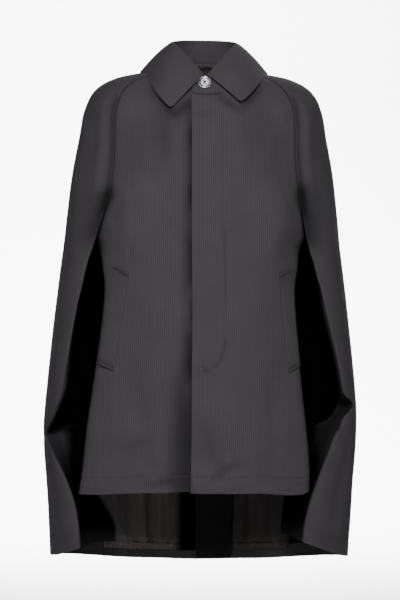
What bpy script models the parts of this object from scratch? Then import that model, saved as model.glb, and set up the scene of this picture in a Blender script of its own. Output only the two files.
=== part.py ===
"""Cape coat, filled out as if worn: turn-down collar, fly front, welt pockets, open raglan cape
sleeves and a vented back.

Metres, +Z up, the front faces -Y and +X is the wearer's left. The origin is the middle of the neck
at the collar seam.
"""

from collections import namedtuple
from math import asin, cos, exp, pi, radians, sin

import bmesh
import bpy
from mathutils import Matrix, Vector

# Cloth walls and the room left between layers
CLOTH_WALL = 0.002
COLLAR_WALL = 0.0025
LINING_WALL = 0.001
WELT_WALL = 0.0015
SEAM_GAP = 0.0005
LAYER_GAP = 0.0006

# Fly front
OVERLAP_EDGE = 0.0205
UNDERLAP_EDGE = 0.030
UNDERLAP_SINK = 0.0048
FLY_TROUGH_DEPTH = 0.011
FLY_TROUGH_X = 0.046
FLY_TROUGH_WIDTH = 0.017
FLY_TROUGH_TOP_Z = -0.42
FRONT_HEM_Z = -0.707

# Hem of the cape sleeves and back, measured from the side of the hem
SLIT_TOP_Z = -0.287
SIDE_HEM_Z = -0.8202
HEM_LIFT_RIGHT = 0.020
HEM_LIFT_LEFT = 0.026
HEM_DROP_BACK = 0.019

# Back vent
VENT_TOP_ROW = 8
VENT_COLUMNS = 3
VENT_CLEAR = 0.04

# Pocket welts: the inner and outer corner at each end
WELT_TOP_Z = (-0.337, -0.327)
WELT_BOTTOM_Z = (-0.511, -0.501)
WELT_TOP_X_RIGHT = (0.126, 0.152)
WELT_BOTTOM_X_RIGHT = (0.150, 0.1755)
WELT_TOP_X_LEFT = (0.122, 0.147)
WELT_BOTTOM_X_LEFT = (0.139, 0.161)

# Collar
COLLAR_LEAD = 4.0
COLLAR_LIFT = 0.0006
ROLL_HALF_WIDTH = 0.0545
ROLL_FRONT_DEPTH = 0.0645
ROLL_BACK_DEPTH = 0.054
ROLL_FRONT_Z = -0.0046
ROLL_SIDE_Z = 0.0535
ROLL_BACK_Z = 0.0585
TIP_RIGHT = Vector((0.0530, -0.0885, -0.0660))
TIP_LEFT = Vector((0.0585, -0.0885, -0.0558))
TIP_RIGHT_RISE = 0.75
TIP_LEFT_RISE = 0.88
FALL_HALF_WIDTH = 0.107
FALL_BACK_DEPTH = 0.092
FALL_SIDE_Z = 0.0035
FALL_BACK_Z = 0.003

# Button
BUTTON_RADIUS = 0.0115
BUTTON_HEIGHT = 0.0040
BUTTON_HOLE_RADIUS = 0.0011
BUTTON_HOLE_SPREAD = 0.0024
BUTTON_RING_ROW = 0.50
BUTTON_SIDES = 32

# Shoulder yoke: rings from the neck seam down to the top of the arm slits, with the raglan seams in
# degrees from the front
Ring = namedtuple(
    "Ring", "half_width side_z front_depth front_z back_depth back_z raglan_front raglan_back"
)
RINGS = [
    Ring(0.064, 0.0040, 0.060, -0.010, 0.056, 0.018, 74.0, 106.0),
    Ring(0.103, -0.0012, 0.071, -0.035, 0.070, 0.004, 68.0, 112.0),
    Ring(0.150, -0.0100, 0.083, -0.065, 0.085, -0.025, 60.5, 120.0),
    Ring(0.185, -0.0310, 0.094, -0.100, 0.096, -0.060, 53.5, 126.0),
    Ring(0.203, -0.0660, 0.103, -0.140, 0.103, -0.105, 49.0, 130.0),
    Ring(0.2115, -0.1150, 0.110, -0.185, 0.107, -0.155, 46.7, 132.0),
    Ring(0.2235, -0.1850, 0.1145, -0.235, 0.109, -0.215, 45.7, 134.0),
]

# Cape below the slits: a row for each level, from the side of the body round the back
CapeRow = namedtuple("CapeRow", "z half_width back_depth back_seam")
CAPE = [
    CapeRow(SLIT_TOP_Z, 0.2345, 0.112, 135.0),
    CapeRow(-0.330, 0.2395, 0.114, 135.5),
    CapeRow(-0.420, 0.2497, 0.120, 136.5),
    CapeRow(-0.500, 0.2580, 0.126, 137.0),
    CapeRow(-0.545, 0.2622, 0.130, 137.5),
    CapeRow(-0.567, 0.2640, 0.132, 137.7),
    CapeRow(-0.592, 0.2655, 0.134, 138.0),
    CapeRow(-0.619, 0.2660, 0.136, 138.3),
    CapeRow(-0.650, 0.2650, 0.139, 138.6),
    CapeRow(-0.690, 0.2620, 0.142, 139.0),
    CapeRow(-0.735, 0.2585, 0.146, 139.4),
    CapeRow(-0.780, 0.2555, 0.149, 139.7),
    CapeRow(SIDE_HEM_Z, 0.2536, 0.152, 140.0),
]

# Front of a cape sleeve on the same levels: where the cloth folds, where it turns back to, and how
# much of that return is there (0 is all of it, 2 stops at the fold)
Fold = namedtuple("Fold", "fold_in fold_depth return_in return_y start")
FOLDS_RIGHT = [
    Fold(0.0480, 0.0835, 0.030, -0.045, 1.80),
    Fold(0.0400, 0.074, 0.030, -0.030, 1.80),
    Fold(0.0340, 0.068, 0.040, -0.010, 1.80),
    Fold(0.0320, 0.062, 0.055, 0.000, 1.80),
    Fold(0.0305, 0.057, 0.065, 0.010, 1.80),
    Fold(0.0270, 0.052, 0.070, 0.015, 1.75),
    Fold(0.0180, 0.040, 0.075, 0.020, 1.20),
    Fold(0.0060, 0.022, 0.080, 0.025, 0.00),
    Fold(0.0165, 0.037, 0.078, 0.030, 0.00),
    Fold(0.0340, 0.055, 0.072, 0.035, 0.00),
    Fold(0.0470, 0.068, 0.066, 0.040, 0.00),
    Fold(0.0520, 0.076, 0.062, 0.045, 0.00),
    Fold(0.0530, 0.080, 0.060, 0.045, 0.00),
]
FOLDS_LEFT = [
    Fold(0.0540, 0.0840, 0.030, -0.045, 1.80),
    Fold(0.0480, 0.076, 0.030, -0.030, 1.80),
    Fold(0.0380, 0.069, 0.040, -0.010, 1.80),
    Fold(0.0285, 0.060, 0.050, 0.000, 1.80),
    Fold(0.0260, 0.050, 0.060, 0.010, 1.75),
    Fold(0.0080, 0.024, 0.070, 0.015, 0.95),
    Fold(0.0320, 0.044, 0.054, 0.020, 0.95),
    Fold(0.0460, 0.055, 0.045, 0.025, 0.00),
    Fold(0.0580, 0.057, 0.041, 0.030, 0.00),
    Fold(0.0700, 0.057, 0.035, 0.035, 0.00),
    Fold(0.0820, 0.063, 0.029, 0.040, 0.00),
    Fold(0.0910, 0.078, 0.022, 0.045, 0.00),
    Fold(0.0935, 0.084, 0.0195, 0.045, 0.00),
]

# Where the return turns in behind the fold, as shares of its run in and its run back
TURN_IN = 0.30
TURN_BACK = 0.80

# Soft flutes of the back, which grow towards the hem
Flute = namedtuple("Flute", "angle height spread")
FLUTES = [
    Flute(110.0, -0.009, 9.0),
    Flute(127.0, 0.008, 8.0),
    Flute(149.0, -0.010, 9.0),
    Flute(166.0, 0.007, 7.0),
]

# Fronts below the raglan seams: width of the oval on each side, angle of the side edge, and how far
# that edge tucks under the sleeve
FrontRow = namedtuple("FrontRow", "z right_width left_width depth edge tuck")
FRONTS = [
    FrontRow(-0.236, 0.2275, 0.2265, 0.1145, 45.6, 0.007),
    FrontRow(-0.264, 0.2310, 0.2280, 0.1155, 51.0, 0.013),
    FrontRow(-0.297, 0.2235, 0.2120, 0.1165, 50.5, 0.004),
    FrontRow(-0.330, 0.2090, 0.1953, 0.1170, 54.0, 0.000),
    FrontRow(-0.370, 0.1974, 0.1840, 0.1170, 58.0, 0.000),
    FrontRow(-0.440, 0.2044, 0.1887, 0.1180, 58.0, 0.000),
    FrontRow(-0.520, 0.2193, 0.1997, 0.1200, 57.0, 0.000),
    FrontRow(-0.600, 0.2352, 0.2131, 0.1240, 56.0, 0.000),
    FrontRow(-0.660, 0.2425, 0.2195, 0.1270, 56.0, 0.000),
    FrontRow(FRONT_HEM_Z, 0.2540, 0.2222, 0.1300, 55.0, 0.000),
]

# Back neck facing, in rows and columns of the back
FACING_ROWS = 6
FACING_COLUMN = 2

# First column of the cape sleeve that is lined
LINING_COLUMN = 7

# Grid steps
YOKE_STEPS = 11
CAPE_STEPS = 21
FRONT_STEPS_DOWN = 14
FRONT_STEPS = 11
FOLD_STEPS = 9
SIDE_STEPS = 5
BACK_STEPS = 8
COLLAR_STEPS = 32

CHARCOAL = ("charcoal_wool", (0.052, 0.049, 0.053, 1.0), 0.88)
CHARCOAL_COLLAR = ("charcoal_collar", (0.050, 0.047, 0.051, 1.0), 0.88)
LINING = ("dark_lining", (0.012, 0.010, 0.010, 1.0), 0.45)
HORN = ("smoke_button", (0.30, 0.28, 0.30, 1.0), 0.18)


def clear_scene():
    for item in list(bpy.data.objects):
        bpy.data.objects.remove(item, do_unlink=True)


def material(name, look):
    made = bpy.data.materials.new(name + "_" + look[0])
    made.use_nodes = True
    shader = made.node_tree.nodes["Principled BSDF"]
    shader.inputs["Base Color"].default_value = look[1]
    shader.inputs["Roughness"].default_value = look[2]
    shader.inputs["Metallic"].default_value = 0.0
    return made


def soft_step(low, high, value):
    share = min(1.0, max(0.0, (value - low) / (high - low)))
    return share * share * (3.0 - 2.0 * share)


def between(before, start, end, after, share):
    """A smooth value between start and end, for numbers or vectors."""
    straight = end - start
    return (
        start
        + (end - before) * (0.5 * share)
        + (before * 1.0 - start * 2.5 + end * 2.0 - after * 0.5) * share**2
        + (straight * -1.5 + (after - before) * 0.5) * share**3
    )


def curve_at(points, place):
    """The point at a place along a smooth curve, which passes through points[n] at place n."""
    last = len(points) - 1
    step = min(max(int(place), 0), last - 1)
    start = points[step]
    end = points[step + 1]
    before = points[step - 1] if step > 0 else start * 2.0 - end
    after = points[step + 2] if step + 2 <= last else end * 2.0 - start
    return between(before, start, end, after, place - step)


def loft(rows, count):
    """A number of smooth steps worked through rows of points."""
    columns = list(zip(*rows))
    made = []
    for place in spread(0.0, len(rows) - 1.0, count):
        made.append([curve_at(column, place) for column in columns])
    return made


def panel_loft(upper, lower, steps_up, steps_down, ease):
    """Rows through a yoke part and a lower part. Columns with ease 0 may turn a corner between them."""
    cornered = loft(upper, steps_up) + loft([upper[-1]] + lower, steps_down)[1:]
    columns = list(zip(*(upper + lower)))
    joint = len(upper) - 1.0
    places = spread(0.0, joint, steps_up) + spread(joint, joint + len(lower), steps_down)[1:]
    made = []
    for row, place in zip(cornered, places):
        line = []
        for point, column, soft in zip(row, columns, ease):
            line.append(point.lerp(curve_at(column, place), soft))
        made.append(line)
    return made


def sheet(name, rows, wall, look, flip=False):
    """A cloth piece: a grid of points given wall thickness on its inner side."""
    width = len(rows[0])
    points = [point for row in rows for point in row]
    faces = []
    for down in range(len(rows) - 1):
        for across in range(width - 1):
            corner = down * width + across
            face = (corner, corner + width, corner + width + 1, corner + 1)
            faces.append(face[::-1] if flip else face)
    mesh = bpy.data.meshes.new(name)
    mesh.from_pydata(points, [], faces)
    mesh.update()
    made = bpy.data.objects.new(name, mesh)
    bpy.context.scene.collection.objects.link(made)
    made.data.materials.append(material(name, look))
    thick = made.modifiers.new("wall", "SOLIDIFY")
    thick.thickness = wall
    thick.offset = -1.0
    thick.use_even_offset = True
    return made


def row_normals(rows, flip=False):
    """The outward direction at each point of a grid."""
    last_row = len(rows) - 1
    last_column = len(rows[0]) - 1
    normals = []
    for down, row in enumerate(rows):
        line = []
        for across in range(len(row)):
            drop = rows[min(down + 1, last_row)][across] - rows[max(down - 1, 0)][across]
            run = row[min(across + 1, last_column)] - row[max(across - 1, 0)]
            out = drop.cross(run).normalized()
            line.append(-out if flip else out)
        normals.append(line)
    return normals


def moved(rows, distance, flip=False):
    """The same grid moved outwards by a distance."""
    made = []
    for row, line in zip(rows, row_normals(rows, flip)):
        made.append([point + normal * distance for point, normal in zip(row, line)])
    return made


def ring_point(ring, degrees, side):
    """A point on a shoulder ring: 0 degrees is the front, 90 the side, 180 the back."""
    angle = radians(degrees)
    forward = cos(angle)
    outward = sin(angle)
    if forward >= 0:
        depth = ring.front_depth
        level = ring.front_z
    else:
        depth = ring.back_depth
        level = ring.back_z
    z = level * forward**2 + ring.side_z * outward**2
    return Vector((side * ring.half_width * outward, -depth * forward, z))


def flute_height(degrees, z):
    """How far a flute of the back stands out at this level."""
    share = soft_step(-0.36, SIDE_HEM_Z, z)
    total = 0.0
    for flute in FLUTES:
        total += flute.height * exp(-(((degrees - flute.angle) / flute.spread) ** 2))
    return total * share


def back_point(row, degrees, side):
    """A point on the cape from its side round to the centre back."""
    angle = radians(degrees)
    share = (row.z - SLIT_TOP_Z) / (SIDE_HEM_Z - SLIT_TOP_Z)
    out = flute_height(degrees, row.z)
    x = row.half_width * sin(angle) + out * sin(angle)
    y = -row.back_depth * cos(angle) - out * cos(angle)
    z = row.z - HEM_DROP_BACK * share**2 * cos(angle) ** 2
    return Vector((side * x, y, z))


def fold_points(row, fold, side, lift):
    """The points of a sleeve's front: return edge, turn, fold, quarter, side, one past the side."""
    share = (row.z - SLIT_TOP_Z) / (SIDE_HEM_Z - SLIT_TOP_Z)
    raised = row.z + lift * share**3
    fold_x = row.half_width - fold.fold_in
    turn_x = fold_x - TURN_IN * fold.return_in
    turn_y = -fold.fold_depth + TURN_BACK * (fold.return_y + fold.fold_depth)
    quarter_x = row.half_width - 0.293 * fold.fold_in
    quarter_z = row.z + 0.5 * (raised - row.z)
    return [
        Vector((side * (fold_x - fold.return_in), fold.return_y, raised)),
        Vector((side * turn_x, turn_y, raised)),
        Vector((side * fold_x, -fold.fold_depth, raised)),
        Vector((side * quarter_x, -0.707 * fold.fold_depth, quarter_z)),
        Vector((side * row.half_width, 0.0, row.z)),
        back_point(row, 112.0, side),
    ]


def spread(low, high, steps):
    return [low + (high - low) * step / steps for step in range(steps + 1)]


def gap_angle(half_width):
    """Half a seam gap as an angle."""
    return 0.5 * SEAM_GAP / half_width * 180.0 / pi


def wing_rows(side, folds, lift):
    upper = []
    for ring in RINGS:
        gap = gap_angle(ring.half_width) * 1.4
        ahead = spread(ring.raglan_front + gap, 90.0, FOLD_STEPS)
        behind = spread(90.0, ring.raglan_back - gap, SIDE_STEPS)
        upper.append([ring_point(ring, degrees, side) for degrees in ahead + behind[1:]])
    lower = []
    for row, fold in zip(CAPE, folds):
        gap = gap_angle(row.half_width) * 1.4
        named = fold_points(row, fold, side, lift)
        front = [curve_at(named, place) for place in spread(fold.start, 4.0, FOLD_STEPS)]
        behind = spread(90.0, row.back_seam - gap, SIDE_STEPS)
        lower.append(front + [back_point(row, degrees, side) for degrees in behind[1:]])
    ease = [soft_step(0, 4, column) for column in range(FOLD_STEPS + SIDE_STEPS + 1)]
    return panel_loft(upper, lower, YOKE_STEPS, CAPE_STEPS, ease)


def back_rows(side):
    upper = []
    for ring in RINGS:
        gap = gap_angle(ring.half_width) * 1.4
        centre = 180.0 - gap_angle(max(ring.back_depth, ring.half_width))
        angles = spread(ring.raglan_back + gap, centre, BACK_STEPS)
        upper.append([ring_point(ring, degrees, side) for degrees in angles])
    lower = []
    for row in CAPE:
        gap = gap_angle(row.half_width) * 1.4
        centre = 180.0 - gap_angle(row.half_width)
        angles = spread(row.back_seam + gap, centre, BACK_STEPS)
        lower.append([back_point(row, degrees, side) for degrees in angles])
    return panel_loft(upper, lower, YOKE_STEPS, CAPE_STEPS, [1.0] * (BACK_STEPS + 1))


def front_point(width, depth, degrees, side, z):
    angle = radians(degrees)
    return Vector((side * width * sin(angle), -depth * cos(angle), z))


def underlap_shape(point):
    """The under front sinks below the over front and hangs in a trough beside it."""
    sink = UNDERLAP_SINK * soft_step(-0.060, -0.026, point.x)
    grown = soft_step(FLY_TROUGH_TOP_Z, FRONT_HEM_Z, point.z)
    trough = FLY_TROUGH_DEPTH * grown * exp(-(((point.x + FLY_TROUGH_X) / FLY_TROUGH_WIDTH) ** 2))
    return point + Vector((0.0, sink + trough, 0.0))


def front_rows(side, lap):
    """A front from its lap past the centre front to the raglan seam and then to its side edge."""
    upper = []
    for ring in RINGS:
        gap = gap_angle(ring.half_width) * 1.4
        first = -asin(lap / ring.half_width) * 180.0 / pi
        angles = spread(first, ring.raglan_front - gap, FRONT_STEPS)
        upper.append([ring_point(ring, degrees, side) for degrees in angles])
    lower = []
    for row in FRONTS:
        width = row.left_width if side > 0 else row.right_width
        first = -asin(lap / width) * 180.0 / pi
        line = []
        for column, degrees in enumerate(spread(first, row.edge, FRONT_STEPS)):
            tuck = Vector((0.0, row.tuck * soft_step(0.6, 1.0, column / FRONT_STEPS), 0.0))
            line.append(front_point(width, row.depth, degrees, side, row.z) + tuck)
        lower.append(line)
    ease = [soft_step(0, 4, FRONT_STEPS - column) for column in range(FRONT_STEPS + 1)]
    made = panel_loft(upper, lower, YOKE_STEPS, FRONT_STEPS_DOWN, ease)
    if side < 0:
        made = [[underlap_shape(point) for point in row] for row in made]
    return made


def on_front(rows, side, out, z):
    """The point of a front's own grid at a distance out and a level, below the slits."""
    down = YOKE_STEPS + 3
    while rows[down + 1][0].z > z:
        down += 1
    share = (z - rows[down][0].z) / (rows[down + 1][0].z - rows[down][0].z)
    line = [high.lerp(low, share) for high, low in zip(rows[down], rows[down + 1])]
    across = 0
    while side * line[across + 1].x < out:
        across += 1
    part = (out - side * line[across].x) / (side * (line[across + 1].x - line[across].x))
    return line[across].lerp(line[across + 1], part)


def mix(pair, share):
    return pair[0] + (pair[1] - pair[0]) * share


def welt_rows(front, side):
    top = WELT_TOP_X_LEFT if side > 0 else WELT_TOP_X_RIGHT
    bottom = WELT_BOTTOM_X_LEFT if side > 0 else WELT_BOTTOM_X_RIGHT
    made = []
    for down in spread(0.0, 1.0, 10):
        row = []
        for across in spread(0.0, 1.0, 3):
            out = mix((mix(top, across), mix(bottom, across)), down)
            level = mix((mix(WELT_TOP_Z, across), mix(WELT_BOTTOM_Z, across)), down)
            row.append(on_front(front, side, out, level))
        made.append(row)
    return moved(made, LAYER_GAP + WELT_WALL, side < 0)


def collar_section(degrees, side):
    """The named points of the collar at an angle: seam, stand, roll, fall and edge."""
    angle = radians(degrees)
    forward = cos(angle)
    outward = sin(angle)
    seam = ring_point(RINGS[0], degrees, side) + Vector((0.0, 0.0, COLLAR_LIFT))
    tip = TIP_RIGHT if side < 0 else TIP_LEFT
    rise = TIP_RIGHT_RISE if side < 0 else TIP_LEFT_RISE
    if forward >= 0:
        roll_y = -ROLL_FRONT_DEPTH * forward
        roll_z = ROLL_FRONT_Z + (ROLL_SIDE_Z - ROLL_FRONT_Z) * outward
        edge_x = tip.x + (FALL_HALF_WIDTH - tip.x) * outward
        edge_y = tip.y * (1.0 - outward**2.35)
        edge_z = tip.z + (FALL_SIDE_Z - tip.z) * outward**rise
    else:
        roll_y = -ROLL_BACK_DEPTH * forward
        roll_z = ROLL_SIDE_Z + (ROLL_BACK_Z - ROLL_SIDE_Z) * forward**2
        edge_x = FALL_HALF_WIDTH * outward
        edge_y = -FALL_BACK_DEPTH * forward
        edge_z = FALL_SIDE_Z + (FALL_BACK_Z - FALL_SIDE_Z) * forward**2
    roll = Vector((side * ROLL_HALF_WIDTH * outward, roll_y, roll_z))
    edge = Vector((side * edge_x, edge_y, edge_z))
    out = Vector((side * outward, -forward, 0.0))
    stand = seam.lerp(roll, 0.72) - out * 0.0005
    fall = roll.lerp(edge, 0.22) + out * 0.0035 + Vector((0.0, 0.0, 0.0015))
    leaf = roll.lerp(edge, 0.62) + out * 0.0025 + Vector((0.0, 0.0, 0.0015))
    return [seam, stand, roll, fall, leaf, edge]


def collar_rows():
    places = [0.0, 0.5, 1.0, 1.5, 2.0, 2.5, 3.0, 3.5, 4.0, 4.5, 5.0]
    made = []
    for turn in spread(-180.0 + COLLAR_LEAD, 180.0 - COLLAR_LEAD, COLLAR_STEPS):
        side = -1.0 if turn < 0 else 1.0
        named = collar_section(180.0 - abs(turn), side)
        made.append([curve_at(named, place) for place in places])
    return made


def facing_rows(right, left):
    """The back neck facing, across the inside of both backs from the neck seam down."""
    return [
        near[FACING_COLUMN:-1] + far[FACING_COLUMN:-1][::-1]
        for near, far in zip(right[:FACING_ROWS], left[:FACING_ROWS])
    ]


def part_rows(rows, first_row, last_row, first_column, last_column):
    return [row[first_column : last_column + 1] for row in rows[first_row : last_row + 1]]


def inner(rows, flip):
    """The grid moved inside the cloth wall, for a lining."""
    return moved(rows, -(CLOTH_WALL + LAYER_GAP), flip)


def vent_rows(inside, first_row):
    """The underlap of the vent, inside the left back, just clear of the lining beside it."""
    made = []
    for row in inside[first_row:]:
        strip = row[BACK_STEPS - VENT_COLUMNS :]
        made.append([strip[0].lerp(strip[1], VENT_CLEAR)] + strip[1:])
    return made


def button():
    """A four-hole button with a raised rim, laid on the over front."""
    profile = [
        (0.0, 0.0),
        (0.80, 0.0),
        (0.97, 0.22),
        (1.0, 0.55),
        (0.95, 0.90),
        (0.84, 1.0),
        (0.72, 0.90),
        (0.62, 0.62),
        (0.0, 0.58),
    ]
    mesh = bpy.data.meshes.new("button")
    bm = bmesh.new()
    line = [bm.verts.new((r * BUTTON_RADIUS, 0.0, h * BUTTON_HEIGHT)) for r, h in profile]
    edges = [bm.edges.new((line[n], line[n + 1])) for n in range(len(line) - 1)]
    bmesh.ops.spin(
        bm,
        geom=line + edges,
        cent=(0, 0, 0),
        axis=(0, 0, 1),
        angle=2 * pi,
        steps=BUTTON_SIDES,
        use_merge=True,
    )
    bmesh.ops.remove_doubles(bm, verts=bm.verts, dist=0.00001)
    bmesh.ops.recalc_face_normals(bm, faces=bm.faces)
    bm.to_mesh(mesh)
    bm.free()
    made = bpy.data.objects.new("button", mesh)
    bpy.context.scene.collection.objects.link(made)
    made.data.materials.append(material("button", HORN))

    cut_mesh = bpy.data.meshes.new("button_holes")
    bm = bmesh.new()
    for x in (-BUTTON_HOLE_SPREAD, BUTTON_HOLE_SPREAD):
        for y in (-BUTTON_HOLE_SPREAD, BUTTON_HOLE_SPREAD):
            bmesh.ops.create_cone(
                bm,
                cap_ends=True,
                segments=10,
                radius1=BUTTON_HOLE_RADIUS,
                radius2=BUTTON_HOLE_RADIUS,
                depth=BUTTON_HEIGHT * 4.0,
                matrix=Matrix.Translation((x, y, 0.0)),
            )
    bm.to_mesh(cut_mesh)
    bm.free()
    cutter = bpy.data.objects.new("button_holes", cut_mesh)
    bpy.context.scene.collection.objects.link(cutter)
    cutter.hide_render = True
    cutter.display_type = "WIRE"
    holes = made.modifiers.new("holes", "BOOLEAN")
    holes.operation = "DIFFERENCE"
    holes.solver = "EXACT"
    holes.object = cutter

    rings = loft([[Vector(ring[:3]), Vector(ring[3:6])] for ring in RINGS[:3]], 100)
    first, second = rings[int(BUTTON_RING_ROW * 50)]
    later, after = rings[int(BUTTON_RING_ROW * 50) + 10]
    centre = Vector((0.0, -first[2], second[0]))
    along = Vector((0.0, -later[2], after[0])) - centre
    normal = Vector((1.0, 0.0, 0.0)).cross(along).normalized()
    if normal.y > 0:
        normal = -normal
    turn = Vector((0.0, 0.0, 1.0)).rotation_difference(normal).to_matrix().to_4x4()
    place = Matrix.Translation(centre + normal * 0.0009) @ turn
    made.matrix_world = place
    cutter.matrix_world = place


def build():
    clear_scene()
    fronts = {-1.0: front_rows(-1.0, UNDERLAP_EDGE), 1.0: front_rows(1.0, OVERLAP_EDGE)}
    sheet("front_right", fronts[-1.0], CLOTH_WALL, CHARCOAL, flip=True)
    sheet("front_left", fronts[1.0], CLOTH_WALL, CHARCOAL)

    wings = {
        -1.0: wing_rows(-1.0, FOLDS_RIGHT, HEM_LIFT_RIGHT),
        1.0: wing_rows(1.0, FOLDS_LEFT, HEM_LIFT_LEFT),
    }
    backs = {-1.0: back_rows(-1.0), 1.0: back_rows(1.0)}
    last = len(backs[1.0]) - 1
    for side, word in ((-1.0, "right"), (1.0, "left")):
        flip = side < 0
        sheet("wing_" + word, wings[side], CLOTH_WALL, CHARCOAL, flip)
        sheet("back_" + word, backs[side], CLOTH_WALL, CHARCOAL, flip)
        columns = FOLD_STEPS + SIDE_STEPS
        wing_inside = inner(wings[side], flip)
        back_inside = inner(backs[side], flip)
        sheet(
            "wing_lining_" + word,
            part_rows(wing_inside, YOKE_STEPS - 3, last - 1, LINING_COLUMN, columns),
            LINING_WALL,
            LINING,
            flip,
        )
        trim = 0 if side < 0 else VENT_COLUMNS
        sheet(
            "back_lining_" + word,
            part_rows(back_inside, FACING_ROWS, last - 1, 0, BACK_STEPS - trim),
            LINING_WALL,
            LINING,
            flip,
        )
        sheet("welt_" + word, welt_rows(fronts[side], side), WELT_WALL, CHARCOAL, flip)
    vent = vent_rows(inner(backs[1.0], False), YOKE_STEPS + VENT_TOP_ROW)
    sheet("vent_underlap", vent, CLOTH_WALL, CHARCOAL)
    facing = facing_rows(inner(backs[-1.0], True), inner(backs[1.0], False))
    sheet("neck_facing", facing, LINING_WALL, LINING, True)
    sheet("collar", collar_rows(), COLLAR_WALL, CHARCOAL_COLLAR)
    button()


build()
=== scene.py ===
from collections import namedtuple
from math import asin, cos, degrees, exp, pi, radians, sin

import bmesh
import bpy
from mathutils import Matrix, Vector, noise


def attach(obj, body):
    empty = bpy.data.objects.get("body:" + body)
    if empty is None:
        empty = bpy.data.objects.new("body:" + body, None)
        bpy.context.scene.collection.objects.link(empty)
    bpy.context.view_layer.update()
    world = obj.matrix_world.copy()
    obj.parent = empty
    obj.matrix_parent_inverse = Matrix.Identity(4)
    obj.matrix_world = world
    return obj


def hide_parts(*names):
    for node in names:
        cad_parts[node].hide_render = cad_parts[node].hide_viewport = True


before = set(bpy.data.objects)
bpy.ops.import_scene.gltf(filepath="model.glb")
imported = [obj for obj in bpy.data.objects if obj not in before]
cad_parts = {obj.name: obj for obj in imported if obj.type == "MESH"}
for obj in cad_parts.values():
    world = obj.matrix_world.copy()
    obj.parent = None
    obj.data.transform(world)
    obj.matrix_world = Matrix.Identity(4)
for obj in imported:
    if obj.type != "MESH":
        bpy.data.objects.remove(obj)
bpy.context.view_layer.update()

print("solids loaded")

cameraView = dict(distance=5.0, azimuth=-2.5, roll=0.55, aim=(-0.0029, 0.0, -0.3859), frameHeight=1.02)


def placeCamera(view):
    lens = bpy.data.cameras.new("camera")
    lens.sensor_width = 36.0
    lens.lens = 36.0 * view["distance"] / view["frameHeight"]  # the long side of the frame is its height
    camera = bpy.data.objects.new("camera", lens)
    bpy.context.scene.collection.objects.link(camera)
    turn = radians(view["azimuth"])
    away = Vector((sin(turn), -cos(turn), 0.0)) * view["distance"]
    camera.matrix_world = (
        Matrix.Translation(Vector(view["aim"]) + away)
        @ Matrix.Rotation(turn, 4, "Z")
        @ Matrix.Rotation(radians(90.0), 4, "X")
        @ Matrix.Rotation(radians(view["roll"]), 4, "Z")
    )
    bpy.context.scene.camera = camera


placeCamera(cameraView)


def linkMesh(name, bm):
    mesh = bpy.data.meshes.new(name)
    bm.to_mesh(mesh)
    bm.free()
    mesh.polygons.foreach_set("use_smooth", [True] * len(mesh.polygons))
    made = bpy.data.objects.new(name, mesh)
    bpy.context.scene.collection.objects.link(made)
    return made


studio = dict(
    floorZ=-1.30, frontY=-11.0, backY=12.0, bend=2.0, wall=7.0, width=30.0, paper=(0.90, 0.90, 0.90, 1.0),
    paperRoughness=0.9, worldStrength=0.05,
    lamps=[
        # name, place, aim, size, watts, spread in degrees
        ("frontBox", (-0.08, -2.3, 0.50), (0.0, 0.0, -0.33), 0.8, 158.0, 140.0),
        ("lowBox", (-0.2, -2.6, -0.95), (0.0, 0.0, -0.74), 0.9, 13.0, 140.0),
        ("leftBox", (-2.2, -3.0, 2.6), (0.0, 0.0, -0.2), 1.6, 30.0, 120.0),
        ("topBox", (0.0, -0.6, 2.6), (0.0, 0.0, -0.2), 2.0, 5.0, 120.0),
        ("rearBox", (0.8, 1.9, 1.6), (0.0, 0.0, -0.3), 1.6, 48.0, 120.0),
        ("floorBox", (0.0, 5.6, 3.4), (0.0, 5.6, -1.3), 2.4, 420.0, 95.0),
        ("paperLeft", (-2.4, 7.4, 4.8), (-0.4, 10.4, -0.6), 2.4, 1000.0, 110.0),
        ("paperRight", (2.4, 7.4, 4.8), (0.4, 10.4, -0.6), 2.4, 1000.0, 110.0),
    ],
)


def setStudio(spec):
    bm = bmesh.new()
    bmesh.ops.create_grid(bm, x_segments=2, y_segments=90, size=1.0)
    corner = spec["backY"] - spec["bend"]
    whole = corner - spec["frontY"] + spec["bend"] * pi / 2 + spec["wall"]
    for vert in bm.verts:
        run = (vert.co.y + 1.0) * 0.5 * whole + spec["frontY"]
        x = vert.co.x * spec["width"] / 2.0
        if run < corner:
            y, z = run, 0.0
        elif run < corner + spec["bend"] * pi / 2:
            angle = (run - corner) / spec["bend"]
            y, z = corner + spec["bend"] * sin(angle), spec["bend"] * (1.0 - cos(angle))
        else:
            y, z = spec["backY"], spec["bend"] + run - corner - spec["bend"] * pi / 2
        vert.co = (x, y, spec["floorZ"] + z)
    sweep = linkMesh("paperSweep", bm)
    paper = bpy.data.materials.new("palePaper")
    paper.use_nodes = True
    shader = paper.node_tree.nodes["Principled BSDF"]
    shader.inputs["Base Color"].default_value = spec["paper"]
    shader.inputs["Roughness"].default_value = spec["paperRoughness"]
    sweep.data.materials.append(paper)
    world = bpy.data.worlds.new("studioAir")
    world.use_nodes = True
    world.node_tree.nodes["Background"].inputs["Color"].default_value = (1.0, 1.0, 1.0, 1.0)
    world.node_tree.nodes["Background"].inputs["Strength"].default_value = spec["worldStrength"]
    bpy.context.scene.world = world
    for name, place, target, size, watts, opening in spec["lamps"]:
        lamp = bpy.data.lights.new(name, "AREA")
        lamp.shape = "DISK"
        lamp.size = size
        lamp.energy = watts
        lamp.spread = radians(opening)
        made = bpy.data.objects.new(name, lamp)
        bpy.context.scene.collection.objects.link(made)
        aim = Vector(target) - Vector(place)
        made.matrix_world = Matrix.Translation(place) @ aim.to_track_quat("-Z", "Y").to_matrix().to_4x4()


setStudio(studio)
print("camera and studio ready")

# Finishes


def startFinish(name):
    made = bpy.data.materials.new(name)
    made.use_nodes = True
    tree = made.node_tree
    return made, tree, tree.nodes["Principled BSDF"]


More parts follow.
